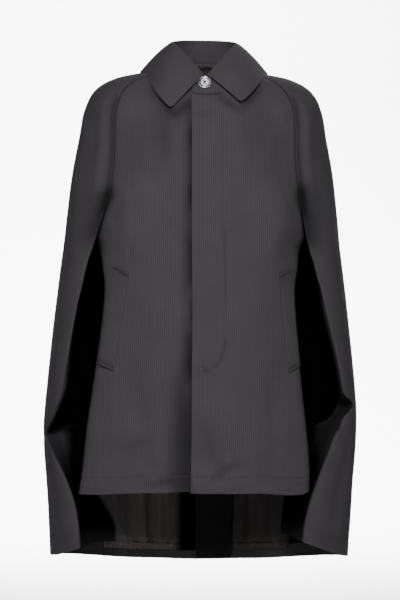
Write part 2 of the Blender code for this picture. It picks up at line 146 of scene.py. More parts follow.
def setInput(tree, socket, value):
    # a value is another node's output, or a plain number, colour or place
    if hasattr(value, "is_output"):
        tree.links.new(value, socket)
    else:
        socket.default_value = value


def addNode(tree, kind, inputs=None, **values):
    node = tree.nodes.new("ShaderNode" + kind)
    for key, value in values.items():
        if hasattr(node, key):
            setattr(node, key, value)
        else:
            node.inputs[key.replace("_", " ")].default_value = value
    setInputs(tree, node, inputs or {})
    return node


def setInputs(tree, node, values):
    for key, value in values.items():
        setInput(tree, node.inputs[key], value)


def ramp(tree, source, low, high, fromLow=0.0, fromHigh=1.0):
    reach = {"From Min": fromLow, "From Max": fromHigh, "To Min": low, "To Max": high}
    return addNode(tree, "MapRange", {"Value": source, **reach}).outputs["Result"]


def combine(tree, operation, first, second):
    return addNode(tree, "Math", {0: first, 1: second}, operation=operation).outputs["Value"]


def waves(tree, place, pitch, direction, **values):
    # the wave texture's own period is pi/10 of its scale
    scale = pi / 10.0 / pitch
    node = addNode(tree, "TexWave", {"Vector": place}, bands_direction=direction, Scale=scale, **values)
    return node.outputs["Fac"]


def mottle(tree, place, **values):
    return addNode(tree, "TexNoise", {"Vector": place}, **values).outputs["Fac"]


def mark(tree, name):
    # the share that a piece carries at each of its points
    return addNode(tree, "Attribute", attribute_name=name).outputs["Fac"]


def mixColours(tree, amount, low, high):
    node = addNode(tree, "Mix", {"Factor": amount}, data_type="RGBA")
    for slot, value in (("A", low), ("B", high)):
        socket = [item for item in node.inputs if item.name == slot and item.type == "RGBA"][0]
        setInput(tree, socket, value)
    return [item for item in node.outputs if item.type == "RGBA"][0]


stripedWool = dict(
    ground=(0.0078, 0.0071, 0.0082, 1.0), stripe=(0.0165, 0.0148, 0.0162, 1.0), stripePitch=0.0034,
    twillPitch=0.0011, fleck=0.28, cloudy=0.22, roughness=0.92, sheen=0.006, shine=0.06,
)


def makeWool(name, spec, lining=None):
    made, tree, shader = startFinish(name)
    weave = addNode(tree, "UVMap", uv_map="weave").outputs["UV"]
    # a chalk-fine stripe down the cloth over a slanting twill
    stripe = waves(tree, weave, spec["stripePitch"], "X", Distortion=0.25, Detail=2.0, Detail_Scale=3.0)
    lean = addNode(tree, "Mapping", {"Vector": weave}, Rotation=(0.0, 0.0, radians(52.0))).outputs["Vector"]
    twill = waves(tree, lean, spec["twillPitch"], "X", Distortion=1.2, Detail=2.0)
    clouds = mottle(tree, weave, Scale=14.0, Detail=5.0, Roughness=0.6)
    nap = mottle(tree, weave, Scale=1500.0, Detail=3.0, Roughness=0.7)
    striped = mixColours(tree, combine(tree, "POWER", stripe, 2.2), spec["ground"], spec["stripe"])
    fleck = ramp(tree, nap, 1.0 - spec["fleck"], 1.0 + spec["fleck"], 0.3, 0.7)
    half = spec["cloudy"] / 2
    cloudy = ramp(tree, clouds, 1.0 - half, 1.0 + half, 0.25, 0.75)
    # painted shade: the cloth is darkened in its seams, beside its laps, under its collar and in its folds
    kept = combine(tree, "SUBTRACT", 1.0, mark(tree, "paintedShade"))
    shade = combine(tree, "MULTIPLY", combine(tree, "MULTIPLY", fleck, cloudy), kept)
    shown = addNode(tree, "VectorMath", {0: striped, "Scale": shade}, operation="SCALE").outputs["Vector"]
    glow = {"Specular IOR Level": spec["shine"], "Sheen Weight": spec["sheen"]}
    if lining:  # painted shadow: the cloth turns near black, without shine, where the piece marks it
        here = mark(tree, "lining")
        shown = mixColours(tree, here, shown, mixColours(tree, clouds, lining["ground"], lining["glow"]))
        glow = {key: ramp(tree, here, most, 0.0) for key, most in glow.items()}
    relief = combine(tree, "ADD", twill, nap)
    bump = addNode(tree, "Bump", {"Height": relief}, Strength=0.35, Distance=0.00025).outputs["Normal"]
    setInputs(tree, shader, {"Base Color": shown, "Normal": bump, "Roughness": spec["roughness"], **glow})
    setInputs(tree, shader, {"Sheen Roughness": 0.55, "Sheen Tint": (0.62, 0.58, 0.62, 1.0)})
    return made


darkSatin = dict(
    ground=(0.0074, 0.0061, 0.0060, 1.0), glow=(0.0230, 0.0190, 0.0186, 1.0), roughness=0.62, shine=0.05,
)
facingSatin = dict(
    ground=(0.0046, 0.0040, 0.0043, 1.0), glow=(0.0080, 0.0071, 0.0076, 1.0), roughness=0.70, shine=0.05,
)
# painted shade: a darker copy of the lining satin for the vent underlap's inside
shadedVentSatin = dict(
    ground=(0.0015, 0.0014, 0.0014, 1.0), glow=(0.0030, 0.0028, 0.0028, 1.0), roughness=0.80, shine=0.02,
)
# painted shade: near-black satin where the lining and the insides lie in deep shade
shadowBlackSatin = dict(
    ground=(0.0002, 0.0002, 0.0002, 1.0), glow=(0.0007, 0.0006, 0.0006, 1.0), roughness=0.88, shine=0.0,
)
satinRib = 0.0006


def makeSatin(name, spec, dark=None):
    made, tree, shader = startFinish(name)
    weave = addNode(tree, "UVMap", uv_map="weave").outputs["UV"]
    stretch = addNode(tree, "Mapping", {"Vector": weave}, Scale=(60.0, 6.0, 1.0)).outputs["Vector"]
    slub = mottle(tree, stretch, Scale=1.0, Detail=4.0)
    ribs = waves(tree, weave, satinRib, "Y", Distortion=0.6)
    tone = mixColours(tree, slub, spec["ground"], spec["glow"])
    shine = spec["shine"]
    # painted shade: the satin darkens towards black where the piece marks it
    if dark:
        here = mark(tree, "lining")
        tone = mixColours(tree, here, tone, dark["glow"])
        shine = ramp(tree, here, shine, 0.0)
    bump = addNode(tree, "Bump", {"Height": ribs}, Strength=0.2, Distance=0.0001).outputs["Normal"]
    rough = ramp(tree, slub, spec["roughness"] - 0.06, spec["roughness"] + 0.08)
    setInputs(tree, shader, {"Base Color": tone, "Normal": bump, "Roughness": rough})
    setInputs(tree, shader, {"Specular IOR Level": shine})
    return made


smokeShell = dict(
    deep=(0.012, 0.011, 0.012, 1.0), paintedGlint=(0.22, 0.21, 0.22, 1.0), dim=(0.09, 0.085, 0.095, 1.0),
    pale=(0.34, 0.33, 0.36, 1.0), dish=0.0068, blur=0.0006,
)


def makeShell(name, spec, centre):
    # a dark rim with painted glints round a pale dish, partly pale shell and partly painted reflection
    made, tree, shader = startFinish(name)
    place = addNode(tree, "TexCoord").outputs["Object"]
    swirl = mottle(tree, place, Scale=420.0, Detail=3.0, Distortion=1.5)
    rim = mixColours(tree, ramp(tree, swirl, 0.0, 1.0, 0.54, 0.66), spec["deep"], spec["paintedGlint"])
    paleDishAndReflection = mixColours(tree, swirl, spec["dim"], spec["pale"])
    away = addNode(tree, "VectorMath", {0: place, 1: centre}, operation="DISTANCE").outputs["Value"]
    inDish = ramp(tree, away, 1.0, 0.0, spec["dish"] - spec["blur"], spec["dish"] + spec["blur"])
    fine = mottle(tree, place, Scale=900.0, Detail=2.0)
    setInputs(tree, shader, {
        "Base Color": mixColours(tree, inDish, rim, paleDishAndReflection), "Roughness": ramp(tree, fine, 0.12, 0.26),
        "Coat Weight": 0.6, "Coat Roughness": 0.08,
    })
    return made


darkThread = dict(ground=(0.004, 0.0037, 0.0042, 1.0), pale=(0.009, 0.0083, 0.0092, 1.0), plyPitch=0.0006)


def makeThread(name, spec):
    made, tree, shader = startFinish(name)
    place = addNode(tree, "TexCoord").outputs["Object"]
    tone = mixColours(tree, waves(tree, place, spec["plyPitch"], "DIAGONAL"), spec["ground"], spec["pale"])
    setInputs(tree, shader, {"Base Color": tone, "Roughness": 0.7, "Specular IOR Level": 0.15})
    return made


wool = makeWool("stripedWool", stripedWool)
calmWool = dict(stripedWool, ground=(0.0096, 0.0087, 0.0099, 1.0), stripe=(0.0128, 0.0115, 0.0127, 1.0))
# painted shade: the sleeves' wool is a darker copy, for their sides that turn away from the light
sleeveWoolInShade = dict(stripedWool, ground=(0.0088, 0.0080, 0.0092, 1.0), stripe=(0.0117, 0.0106, 0.0119, 1.0))
sleeveWoolPaintedDark = makeWool("sleeveWoolPaintedDark", sleeveWoolInShade, shadowBlackSatin)
collarWool = makeWool("collarWool", calmWool)
facingCloth = makeSatin("facingSatin", facingSatin)
neckSatin = dict(facingSatin, ground=(0.0085, 0.0072, 0.0078, 1.0), glow=(0.0120, 0.0103, 0.0110, 1.0))
neckCloth = makeSatin("neckSatin", neckSatin)
shadedVentCloth = makeSatin("shadedVentSatin", shadedVentSatin)
satin = makeSatin("darkSatin", darkSatin, shadowBlackSatin)
shadowBlack = makeSatin("shadowBlackSatin", shadowBlackSatin)
thread = makeThread("darkThread", darkThread)
print("finishes mixed")

# Shaping


def softStep(low, high, value):
    share = min(1.0, max(0.0, (value - low) / (high - low)))
    return share * share * (3.0 - 2.0 * share)


def bell(off, width):
    return exp(-((off / width) ** 2))


def curveAt(points, place):
    # a smooth curve through points[n] at place n, held back where two points lie close together
    last = len(points) - 1
    step = min(max(int(place), 0), last - 1)
    share = place - step
    start, end = points[step], points[step + 1]
    before = points[step - 1] if step > 0 else start * 2.0 - end
    after = points[step + 2] if step + 2 <= last else end * 2.0 - start
    leave, arrive = (end - before) * 0.5, (after - start) * 0.5
    longest = 1.6 * (end - start).length + 1e-9
    leave *= min(1.0, longest / (leave.length + 1e-9))
    arrive *= min(1.0, longest / (arrive.length + 1e-9))
    rise = share * share * (3.0 - 2.0 * share)
    easeOut, easeIn = share * (1.0 - share) ** 2, share * share * (share - 1.0)
    return start + (end - start) * rise + leave * easeOut + arrive * easeIn


def spread(low, high, steps):
    return [low + (high - low) * step / steps for step in range(steps + 1)]


def closerAtEdges(steps, first=(0.0,), last=(0.0,)):
    even = spread(first[-1], 1.0 - last[-1], steps)
    return list(first[:-1]) + even + [1.0 - share for share in reversed(last[:-1])]


def placesDown(joint, end, stepsUp, stepsDown, topMarks, hemMarks):
    even = spread(0.0, joint, stepsUp) + spread(joint, end, stepsDown)[1:]
    marks = list(topMarks) + [end - mark for mark in hemMarks]
    clear = 0.35 * (end - joint) / stepsDown
    kept = [place for place in even if min(abs(place - mark) for mark in marks) > clear]
    return sorted(kept + marks)


def panelRows(upper, lower, places, ease):
    # a column with ease 0 may turn a corner at the top of the slit
    joint = len(upper) - 1.0
    above = list(zip(*upper))
    below = list(zip(*([upper[-1]] + lower)))
    whole = list(zip(*(upper + lower)))
    made = []
    for place in places:
        row = []
        for column, soft in enumerate(ease):
            if soft < 1.0:
                if place <= joint:
                    cornered = curveAt(above[column], place)
                else:
                    cornered = curveAt(below[column], place - joint)
                row.append(cornered.lerp(curveAt(whole[column], place), soft))
            else:
                row.append(curveAt(whole[column], place))
        made.append(row)
    return made


def gridNormals(rows, flip):
    lastRow, lastColumn = len(rows) - 1, len(rows[0]) - 1
    normals = []
    for down, row in enumerate(rows):
        high, low = rows[max(down - 1, 0)], rows[min(down + 1, lastRow)]
        line = []
        for across in range(len(row)):
            run = row[min(across + 1, lastColumn)] - row[max(across - 1, 0)]
            out = (low[across] - high[across]).cross(run).normalized()
            line.append(-out if flip else out)
        normals.append(line)
    return normals


def movedOut(rows, flip, distance):
    normals = gridNormals(rows, flip)
    return [[point + out * distance for point, out in zip(row, line)] for row, line in zip(rows, normals)]


def runsAcross(rows, zeroColumn):
    made = []
    for row in rows:
        runs = [0.0]
        for before, point in zip(row, row[1:]):
            runs.append(runs[-1] + (point - before).length)
        made.append([run - runs[zeroColumn] for run in runs])
    return made


def runsDown(rows):
    made = [[0.0] * len(rows[0])]
    for before, row in zip(rows, rows[1:]):
        made.append([run + (low - high).length for run, high, low in zip(made[-1], before, row)])
    return made


# a depth below zero is a trough, above zero a ridge
Crease = namedtuple("Crease", "u z toU toZ bow width depth")


def creaseHeight(creases, u, z):
    total = 0.0
    for crease in creases:
        alongU, alongZ = crease.toU - crease.u, crease.toZ - crease.z
        length2 = alongU**2 + alongZ**2
        share = ((u - crease.u) * alongU + (z - crease.z) * alongZ) / length2
        if -0.25 < share < 1.25:
            held = min(1.0, max(0.0, share))
            length = length2**0.5
            off = ((u - crease.u) * alongZ - (z - crease.z) * alongU) / length
            off -= crease.bow * 4.0 * held * (1.0 - held)
            if abs(off) < 3.0 * crease.width:
                fade = softStep(-0.25, 0.3, share) * (1.0 - softStep(0.7, 1.25, share))
                total += crease.depth * fade * bell(off, crease.width)
    return total


sewnEdges = dict(seam=(0.0020, 0.0042), turned=(0.0009, 0.0013))  # depth and width of the pressed line


def edgeHeight(kind, distance):
    depth, width = sewnEdges[kind]
    return -depth * bell(distance, width)


Dip = namedtuple("Dip", "edge distance width depth topZ hemZ")  # runs beside the first or the last edge


def dipHeight(dips, toFirst, toLast, z):
    total = 0.0
    for dip in dips:
        off = (toFirst if dip.edge == "first" else toLast) - dip.distance
        if abs(off) < 3.0 * dip.width:
            fade = 1.0 - softStep(dip.topZ - 0.03, dip.topZ, z)
            fade *= softStep(dip.hemZ, dip.hemZ + 0.04, z)
            total += dip.depth * fade * bell(off, dip.width)
    return total


clothSlack = dict(broad=(11.0, 3.5), fine=(30.0, 11.0), fineShare=0.35, calmWithin=0.03, narrow=0.09)
sewnRow = dict(
    topDepth=0.0011, topWidth=0.0013, topFade=0.012, hemDepth=0.0007, hemWidth=0.0012, pucker=0.0004,
    puckerTurns=190.0, puckerWidth=0.006, flyDepth=0.0006, flyWidth=0.0012, flyEnd=(-0.47, -0.43),
)


def slackWave(u, z, seed):
    (broadU, broadZ), (fineU, fineZ) = clothSlack["broad"], clothSlack["fine"]
    fine = noise.noise(Vector((u * fineU, z * fineZ, seed)))
    return noise.noise(Vector((u * broadU, z * broadZ, seed))) + clothSlack["fineShare"] * fine


def drapeCloth(rows, flip, spec, zeroColumn):
    # the soft unevenness, creases, sewn edges and hem line of a piece, laid on its plain form
    across = runsAcross(rows, zeroColumn)
    down = runsDown(rows)
    normals = gridNormals(rows, flip)
    first, last, top, hem = spec["edges"]
    slack, seed = spec["slack"], spec["seed"]
    made = []
    for rowNumber, row in enumerate(rows):
        line = []
        for column, point in enumerate(row):
            u = across[rowNumber][column]
            toFirst = u - across[rowNumber][0]
            toLast = across[rowNumber][-1] - u
            toTop = down[rowNumber][column]
            toHem = down[-1][column] - toTop
            near = min(toFirst, toLast, toTop)
            calm = softStep(0.0, clothSlack["calmWithin"], near)
            z = point.z
            height = slack * slackWave(u, z, seed) * calm
            height += creaseHeight(spec.get("creases", ()), u, z)
            height += dipHeight(spec.get("dips", ()), toFirst, toLast, z)
            narrow = softStep(0.0, clothSlack["narrow"], toFirst + toLast)
            height += narrow * (edgeHeight(first, toFirst) + edgeHeight(last, toLast))
            height += edgeHeight(top, toTop) + edgeHeight(hem, toHem)
            for stitchLine, reach in spec.get("topLines", ()):
                kept = 1.0 - softStep(reach, reach + sewnRow["topFade"], u)
                height -= sewnRow["topDepth"] * bell(toTop - stitchLine, sewnRow["topWidth"]) * kept
            for stitchLine in spec.get("hemLines", ()):
                height -= sewnRow["hemDepth"] * bell(toHem - stitchLine, sewnRow["hemWidth"])
                pucker = noise.noise(Vector((u * sewnRow["puckerTurns"], 0.0, seed)))
                height += sewnRow["pucker"] * pucker * bell(toHem - stitchLine, sewnRow["puckerWidth"])
            for stitchLine in spec.get("firstLines", ()):
                kept = softStep(*sewnRow["flyEnd"], z)
                height -= sewnRow["flyDepth"] * bell(toFirst - stitchLine, sewnRow["flyWidth"]) * kept
            line.append(point + normals[rowNumber][column] * height)
        made.append(line)
    return made


# how strongly painted shade darkens seams and sewn rows
shadePainting = dict(
    seam=0.72, seamWidth=0.0024, beside=0.18, besideWidth=0.009, row=0.5, rowWidth=0.0015, most=0.92,
)


def paintedShadeShare(spec, u, z, toFirst, toLast, toTop, toHem):
    # painted shade: how dark the cloth is painted in its seams, beside its laps, under its collar and in its
    # deepest folds
    total = creaseHeight(spec.get("shades", ()), u, z)
    total += dipHeight(spec.get("edgeShades", ()), toFirst, toLast, z)
    for kind, distance in zip(spec.get("edges", ()), (toFirst, toLast, toTop, toHem)):
        if kind == "seam":
            total += shadePainting["seam"] * bell(distance, shadePainting["seamWidth"])
            total += shadePainting["beside"] * bell(distance, shadePainting["besideWidth"])
    for stitchLine, reach in spec.get("topLines", ()):
        kept = 1.0 - softStep(reach, reach + sewnRow["topFade"], u)
        total += shadePainting["row"] * bell(toTop - stitchLine, shadePainting["rowWidth"]) * kept
    return min(shadePainting["most"], max(0.0, total))


def sewPiece(name, rows, flip, spec, zeroColumn=0, finish=None, inside=None, paintedDarkAt=None):
    # a grid pulled onto the piece's form, with its weave measured along the cloth
    width, length = len(rows[0]), len(rows)
    across = runsAcross(rows, zeroColumn)
    down = runsDown(rows)
    bm = bmesh.new()
    bmesh.ops.create_grid(bm, x_segments=width - 1, y_segments=length - 1, size=1.0)
    bm.verts.ensure_lookup_table()
    for number, vert in enumerate(bm.verts):
        vert.co = rows[number // width][number % width]
    weave = bm.loops.layers.uv.new("weave")
    for face in bm.faces:
        for loop in face.loops:
            row, column = divmod(loop.vert.index, width)
            u, v = across[row][column], down[row][column]
            loop[weave].uv = (v, u) if spec.get("weaveTurned") else (u, v)
    # painted shade at each point, read by the wool's finish
    paintedShade = bm.verts.layers.float.new("paintedShade")
    for vert in bm.verts:
        row, column = divmod(vert.index, width)
        u, v = across[row][column], down[row][column]
        edges = (u - across[row][0], across[row][-1] - u, v, down[-1][column] - v)
        vert[paintedShade] = paintedShadeShare(spec, u, vert.co.z, *edges)
    # painted shadow: the share painted near black at each point, from the piece's own function
    if paintedDarkAt:
        lining = bm.verts.layers.float.new("lining")
        for vert in bm.verts:
            vert[lining] = paintedDarkAt(*divmod(vert.index, width))
    if not flip:
        bmesh.ops.reverse_faces(bm, faces=bm.faces)
    area = sum(face.calc_area() for face in bm.faces)
    made = linkMesh(name, bm)
    mesh = made.data
    mesh.materials.append(finish or wool)
    wall = made.modifiers.new("wall", "SOLIDIFY")
    wall.thickness = spec["wall"]
    wall.offset = -1.0
    if inside:
        mesh.materials.append(inside)
        wall.material_offset = 1
    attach(made, "root")
    widest = max(line[-1] - line[0] for line in across)
    longest = max(down[-1])
    print(name, "cut", round(widest, 3), "x", round(longest, 3), "area", round(area, 4))
    return made


def stitchAlong(name, paths, spec):
    # short slanted stitches laid on a line of (point, outward) pairs
    bm = bmesh.new()
    for path in paths:
        left = 0.0
        for (start, out), (end, _) in zip(path, path[1:]):
            run = end - start
            while left < run.length:
                heading = run.normalized()
                centre = start + heading * left + out * spec["stand"]
                turn = Vector((0.0, 0.0, 1.0)).rotation_difference(heading).to_matrix().to_4x4()
                bmesh.ops.create_cone(
                    bm, cap_ends=True, segments=6, radius1=spec["radius"], radius2=spec["radius"] * 0.8,
                    depth=spec["length"], matrix=Matrix.Translation(centre) @ turn,
                )
                left += spec["pitch"]
            left -= run.length
    made = linkMesh(name, bm)
    made.data.materials.append(thread)
    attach(made, "root")
    return made


woolWall = 0.0019
hemTurn = 0.027
sewing = dict(radius=0.00028, length=0.0027, pitch=0.0036, stand=0.00005)
barTack = dict(radius=0.00045, length=0.0016, pitch=0.0011, stand=0.00015)


def rowPath(rows, flip, rowNumber, firstColumn=0, lastColumn=None):
    normals = gridNormals(rows, flip)
    return list(zip(rows[rowNumber], normals[rowNumber]))[firstColumn:lastColumn]


def hemRow(rows, distance):
    # the row that lies this far above the hem
    down = runsDown(rows)
    middle = len(rows[0]) // 2
    return min(range(len(rows)), key=lambda row: abs(down[-1][middle] - down[row][middle] - distance))


def onPanel(rows, normals, side, out, z):
    # the point and outward direction of a panel at a distance from the centre line and a level
    held = None
    for row, line in zip(rows, normals):
        column = 0
        while column < len(row) - 2 and side * row[column + 1].x < out:
            column += 1
        span = side * (row[column + 1].x - row[column].x)
        share = (out - side * row[column].x) / span
        point = row[column].lerp(row[column + 1], share)
        outward = line[column].lerp(line[column + 1], share)
        if point.z <= z and held:
            part = (z - held[0].z) / (point.z - held[0].z)
            return held[0].lerp(point, part), held[1].lerp(outward, part).normalized()
        held = (point, outward)
    return held


# Shoulder rings from the neck seam to the top of the slits; the seams are in degrees round from the front
Ring = namedtuple("Ring", "halfWidth sideZ frontDepth frontZ backDepth backZ raglanFront raglanBack")
shoulderRings = [
    Ring(0.064, 0.0040, 0.060, -0.010, 0.056, 0.018, 74.0, 106.0),
    Ring(0.103, 0.0000, 0.071, -0.035, 0.070, 0.004, 68.0, 112.0),
    Ring(0.150, -0.0100, 0.083, -0.065, 0.085, -0.025, 60.5, 120.0),
    Ring(0.185, -0.0310, 0.094, -0.100, 0.096, -0.060, 53.5, 126.0),
    Ring(0.203, -0.0660, 0.103, -0.140, 0.103, -0.105, 49.0, 130.0),
    Ring(0.2115, -0.1150, 0.110, -0.185, 0.107, -0.155, 46.7, 132.0),
    Ring(0.2235, -0.1850, 0.1145, -0.235, 0.109, -0.215, 45.7, 134.0),
]
seamGap = -0.0006  # the sewn edges run into each other
raglanGap = 1.4  # times the gap of a straight seam


def ringPoint(ring, angle, side):
    forward, outward = cos(radians(angle)), sin(radians(angle))
    depth, level = (ring.frontDepth, ring.frontZ) if forward >= 0 else (ring.backDepth, ring.backZ)
    z = level * forward**2 + ring.sideZ * outward**2
    return Vector((side * ring.halfWidth * outward, -depth * forward, z))


def gapAngle(halfWidth):
    return degrees(0.5 * seamGap / halfWidth)


def raglanAngle(halfWidth):
    return gapAngle(halfWidth) * raglanGap


# Fronts: below the raglan seams a row for each level
FrontRow = namedtuple("FrontRow", "z rightWidth leftWidth depth edge tuck")
frontLevels = [
    FrontRow(-0.264, 0.2285, 0.2200, 0.1155, 53.0, 0.020),
    FrontRow(-0.297, 0.2225, 0.2070, 0.1165, 52.5, 0.020),
    FrontRow(-0.330, 0.2090, 0.1953, 0.1170, 55.0, 0.010),
    FrontRow(-0.370, 0.1974, 0.1840, 0.1170, 58.0, 0.003),
    FrontRow(-0.440, 0.2044, 0.1887, 0.1180, 58.0, 0.000),
    FrontRow(-0.520, 0.2193, 0.1997, 0.1200, 57.0, 0.000),
    FrontRow(-0.600, 0.2352, 0.2131, 0.1240, 56.0, 0.000),
    FrontRow(-0.660, 0.2425, 0.2195, 0.1270, 56.0, 0.000),
    FrontRow(-0.707, 0.2540, 0.2222, 0.1300, 55.0, 0.000),
]
frontCut = dict(
    steps=44, stepsUp=44, stepsDown=84, closer=(0.0, 0.004, 0.010, 0.020, 0.035),
    lapSteps=(0.0, 0.0005, 0.0012, 0.0022, 0.004, 0.008, 0.013, 0.018, 0.023, 0.028, 0.033, 0.038, 0.043,
              0.048, 0.0508, 0.0522, 0.0530, 0.0538, 0.0552, 0.058),
    topMarks=(0.0, 0.02, 0.05, 0.10, 1.18, 1.22, 1.25, 1.275, 1.30, 1.34),
    hemMarks=(0.0, 0.012, 0.028, 0.055, 0.10, 0.50, 0.535, 0.56, 0.575, 0.59, 0.615, 0.65),
)
frontRight = dict(
    side=-1.0, lap=0.030, wall=woolWall, slack=0.0011, seed=3.1,
    hemDrops=((0.09, 0.19, 0.0054), (0.07, 0.02, -0.0022)),  # from x, to x, fall
    edges=("turned", "seam", "seam", "turned"), hemLines=(hemTurn,),
    creases=[
        Crease(0.145, -0.212, 0.172, -0.250, 0.004, 0.008, -0.0032),
        Crease(0.131, -0.292, 0.128, -0.332, 0.0, 0.006, -0.0016),
        Crease(0.078, -0.664, 0.072, -0.707, 0.0, 0.006, -0.0028),
        Crease(0.058, -0.672, 0.055, -0.707, 0.0, 0.005, 0.0022),
        Crease(0.100, -0.655, 0.082, -0.690, 0.002, 0.006, -0.0022),
        Crease(0.0985, -0.694, 0.050, -0.687, 0.002, 0.005, -0.0026),
        Crease(0.096, -0.681, 0.055, -0.675, 0.002, 0.006, 0.0020),
        Crease(0.120, -0.540, 0.104, -0.690, 0.006, 0.016, -0.0034),
        Crease(0.078, -0.040, 0.084, -0.165, 0.004, 0.017, -0.0050),
        Crease(0.052, -0.060, 0.056, -0.150, -0.003, 0.014, 0.0022),
        Crease(0.028, -0.070, 0.029, -0.330, 0.001, 0.009, -0.0052),
        Crease(0.030, -0.300, 0.031, -0.560, 0.002, 0.010, -0.0060),
        Crease(0.032, -0.520, 0.034, -0.740, 0.003, 0.012, -0.0085),
    ],
    dips=[Dip("last", 0.010, 0.009, -0.0016, -0.02, -0.23)],
    edgeShades=[Dip("last", 0.0, 0.013, 0.80, -0.185, -0.33)],
    shades=[
        Crease(0.0560, -0.078, 0.0220, -0.050, 0.0, 0.0090, 0.46),
        Crease(0.0540, -0.078, 0.1020, -0.026, 0.0, 0.0080, 0.46),
        Crease(0.0280, -0.050, 0.0270, -0.130, 0.0, 0.0080, 0.30),
        Crease(0.0258, -0.090, 0.0258, -0.240, 0.0, 0.0074, 0.64),
        Crease(0.0262, -0.190, 0.0262, -0.256, 0.0, 0.0110, 0.36),
        Crease(0.0258, -0.262, 0.0258, -0.375, 0.0, 0.0100, 0.74),
        Crease(0.0250, -0.385, 0.0252, -0.425, 0.0, 0.0066, 0.56),
        Crease(0.0255, -0.430, 0.0265, -0.520, 0.0, 0.0120, 0.74),
        Crease(0.0320, -0.520, 0.0350, -0.760, 0.0, 0.0245, 0.70),
        Crease(0.1390, -0.636, 0.1050, -0.618, 0.0, 0.0110, 0.20),
        Crease(0.0990, -0.695, 0.0500, -0.688, 0.002, 0.0050, 0.32),
        Crease(0.078, -0.040, 0.086, -0.170, 0.004, 0.022, 0.20),
        Crease(0.122, -0.085, 0.138, -0.185, 0.004, 0.026, 0.17),
    ],
)
frontLeft = dict(
    side=1.0, lap=0.0205, wall=woolWall, slack=0.0011, seed=8.4,
    hemDrops=((0.09, 0.15, 0.0036), (0.166, 0.186, -0.0056)),
    edges=("turned", "seam", "seam", "turned"), hemLines=(hemTurn,), firstLines=(0.0534,),
    creases=[
        Crease(0.006, -0.697, 0.071, -0.657, -0.004, 0.0095, -0.0042),
        Crease(0.004, -0.679, 0.060, -0.643, -0.004, 0.011, 0.0030),
        Crease(0.008, -0.590, 0.030, -0.676, 0.006, 0.014, -0.0044),
        Crease(0.094, -0.652, 0.108, -0.688, 0.003, 0.009, -0.0022),
        Crease(0.140, -0.212, 0.166, -0.246, -0.004, 0.008, -0.0030),
        Crease(0.118, -0.540, 0.112, -0.690, -0.006, 0.015, -0.0024),
        Crease(0.072, -0.060, 0.086, -0.170, -0.004, 0.017, -0.0030),
        Crease(-0.014, -0.060, -0.014, -0.690, 0.001, 0.0045, 0.0007),
    ],
    dips=[Dip("last", 0.010, 0.009, -0.0014, -0.02, -0.23)], topLines=((0.0345, 0.020),),
    edgeShades=[Dip("last", 0.0, 0.013, 0.80, -0.185, -0.33)],
    shades=[
        Crease(0.096, -0.050, 0.100, -0.190, 0.004, 0.024, 0.16),
        Crease(0.126, -0.085, 0.140, -0.215, 0.004, 0.022, 0.18),
        Crease(0.006, -0.600, 0.036, -0.684, 0.006, 0.012, 0.16),
        Crease(-0.014, -0.079, 0.010, -0.070, 0.0, 0.004, 0.22),
        Crease(0.018, -0.040, 0.054, -0.066, 0.0, 0.0075, 0.38),
        Crease(0.060, -0.068, 0.104, -0.020, 0.0, 0.0080, 0.44),
        Crease(0.0325, -0.265, 0.0329, -0.400, 0.0, 0.0017, 0.30),
        Crease(0.0329, -0.448, 0.0197, -0.491, -0.003, 0.0030, 0.30),
        Crease(0.0197, -0.491, -0.0190, -0.5085, -0.003, 0.0030, 0.40),
    ],
)
flyTrough = dict(
    sink=0.0048, depth=0.011, x=0.046, width=0.017, topZ=-0.42, hemZ=-0.707, under=(-0.060, -0.026),
)
lapReach = dict(by=0.0030, hemZ=-0.44, topZ=-0.20)


def sinkUnderlap(point):
    # the under front lies below the over front and hangs in a trough beside it
    sink = flyTrough["sink"] * softStep(*flyTrough["under"], point.x)
    grown = softStep(flyTrough["topZ"], flyTrough["hemZ"], point.z)
    trough = flyTrough["depth"] * grown * bell(point.x + flyTrough["x"], flyTrough["width"])
    return point + Vector((0.0, sink + trough, 0.0))


def frontAngles(halfWidth, lap, edgeAngle, shares):
    # columns keep their distance from the lap, then spread to the seam
    fixed = [degrees(asin((step - lap) / halfWidth)) for step in frontCut["lapSteps"]]
    return fixed + [fixed[-1] + (edgeAngle - fixed[-1]) * share for share in shares[1:]]


def lapShift(z):
    # towards the neck the over front reaches a little further across
    return lapReach["by"] * softStep(lapReach["hemZ"], lapReach["topZ"], z)


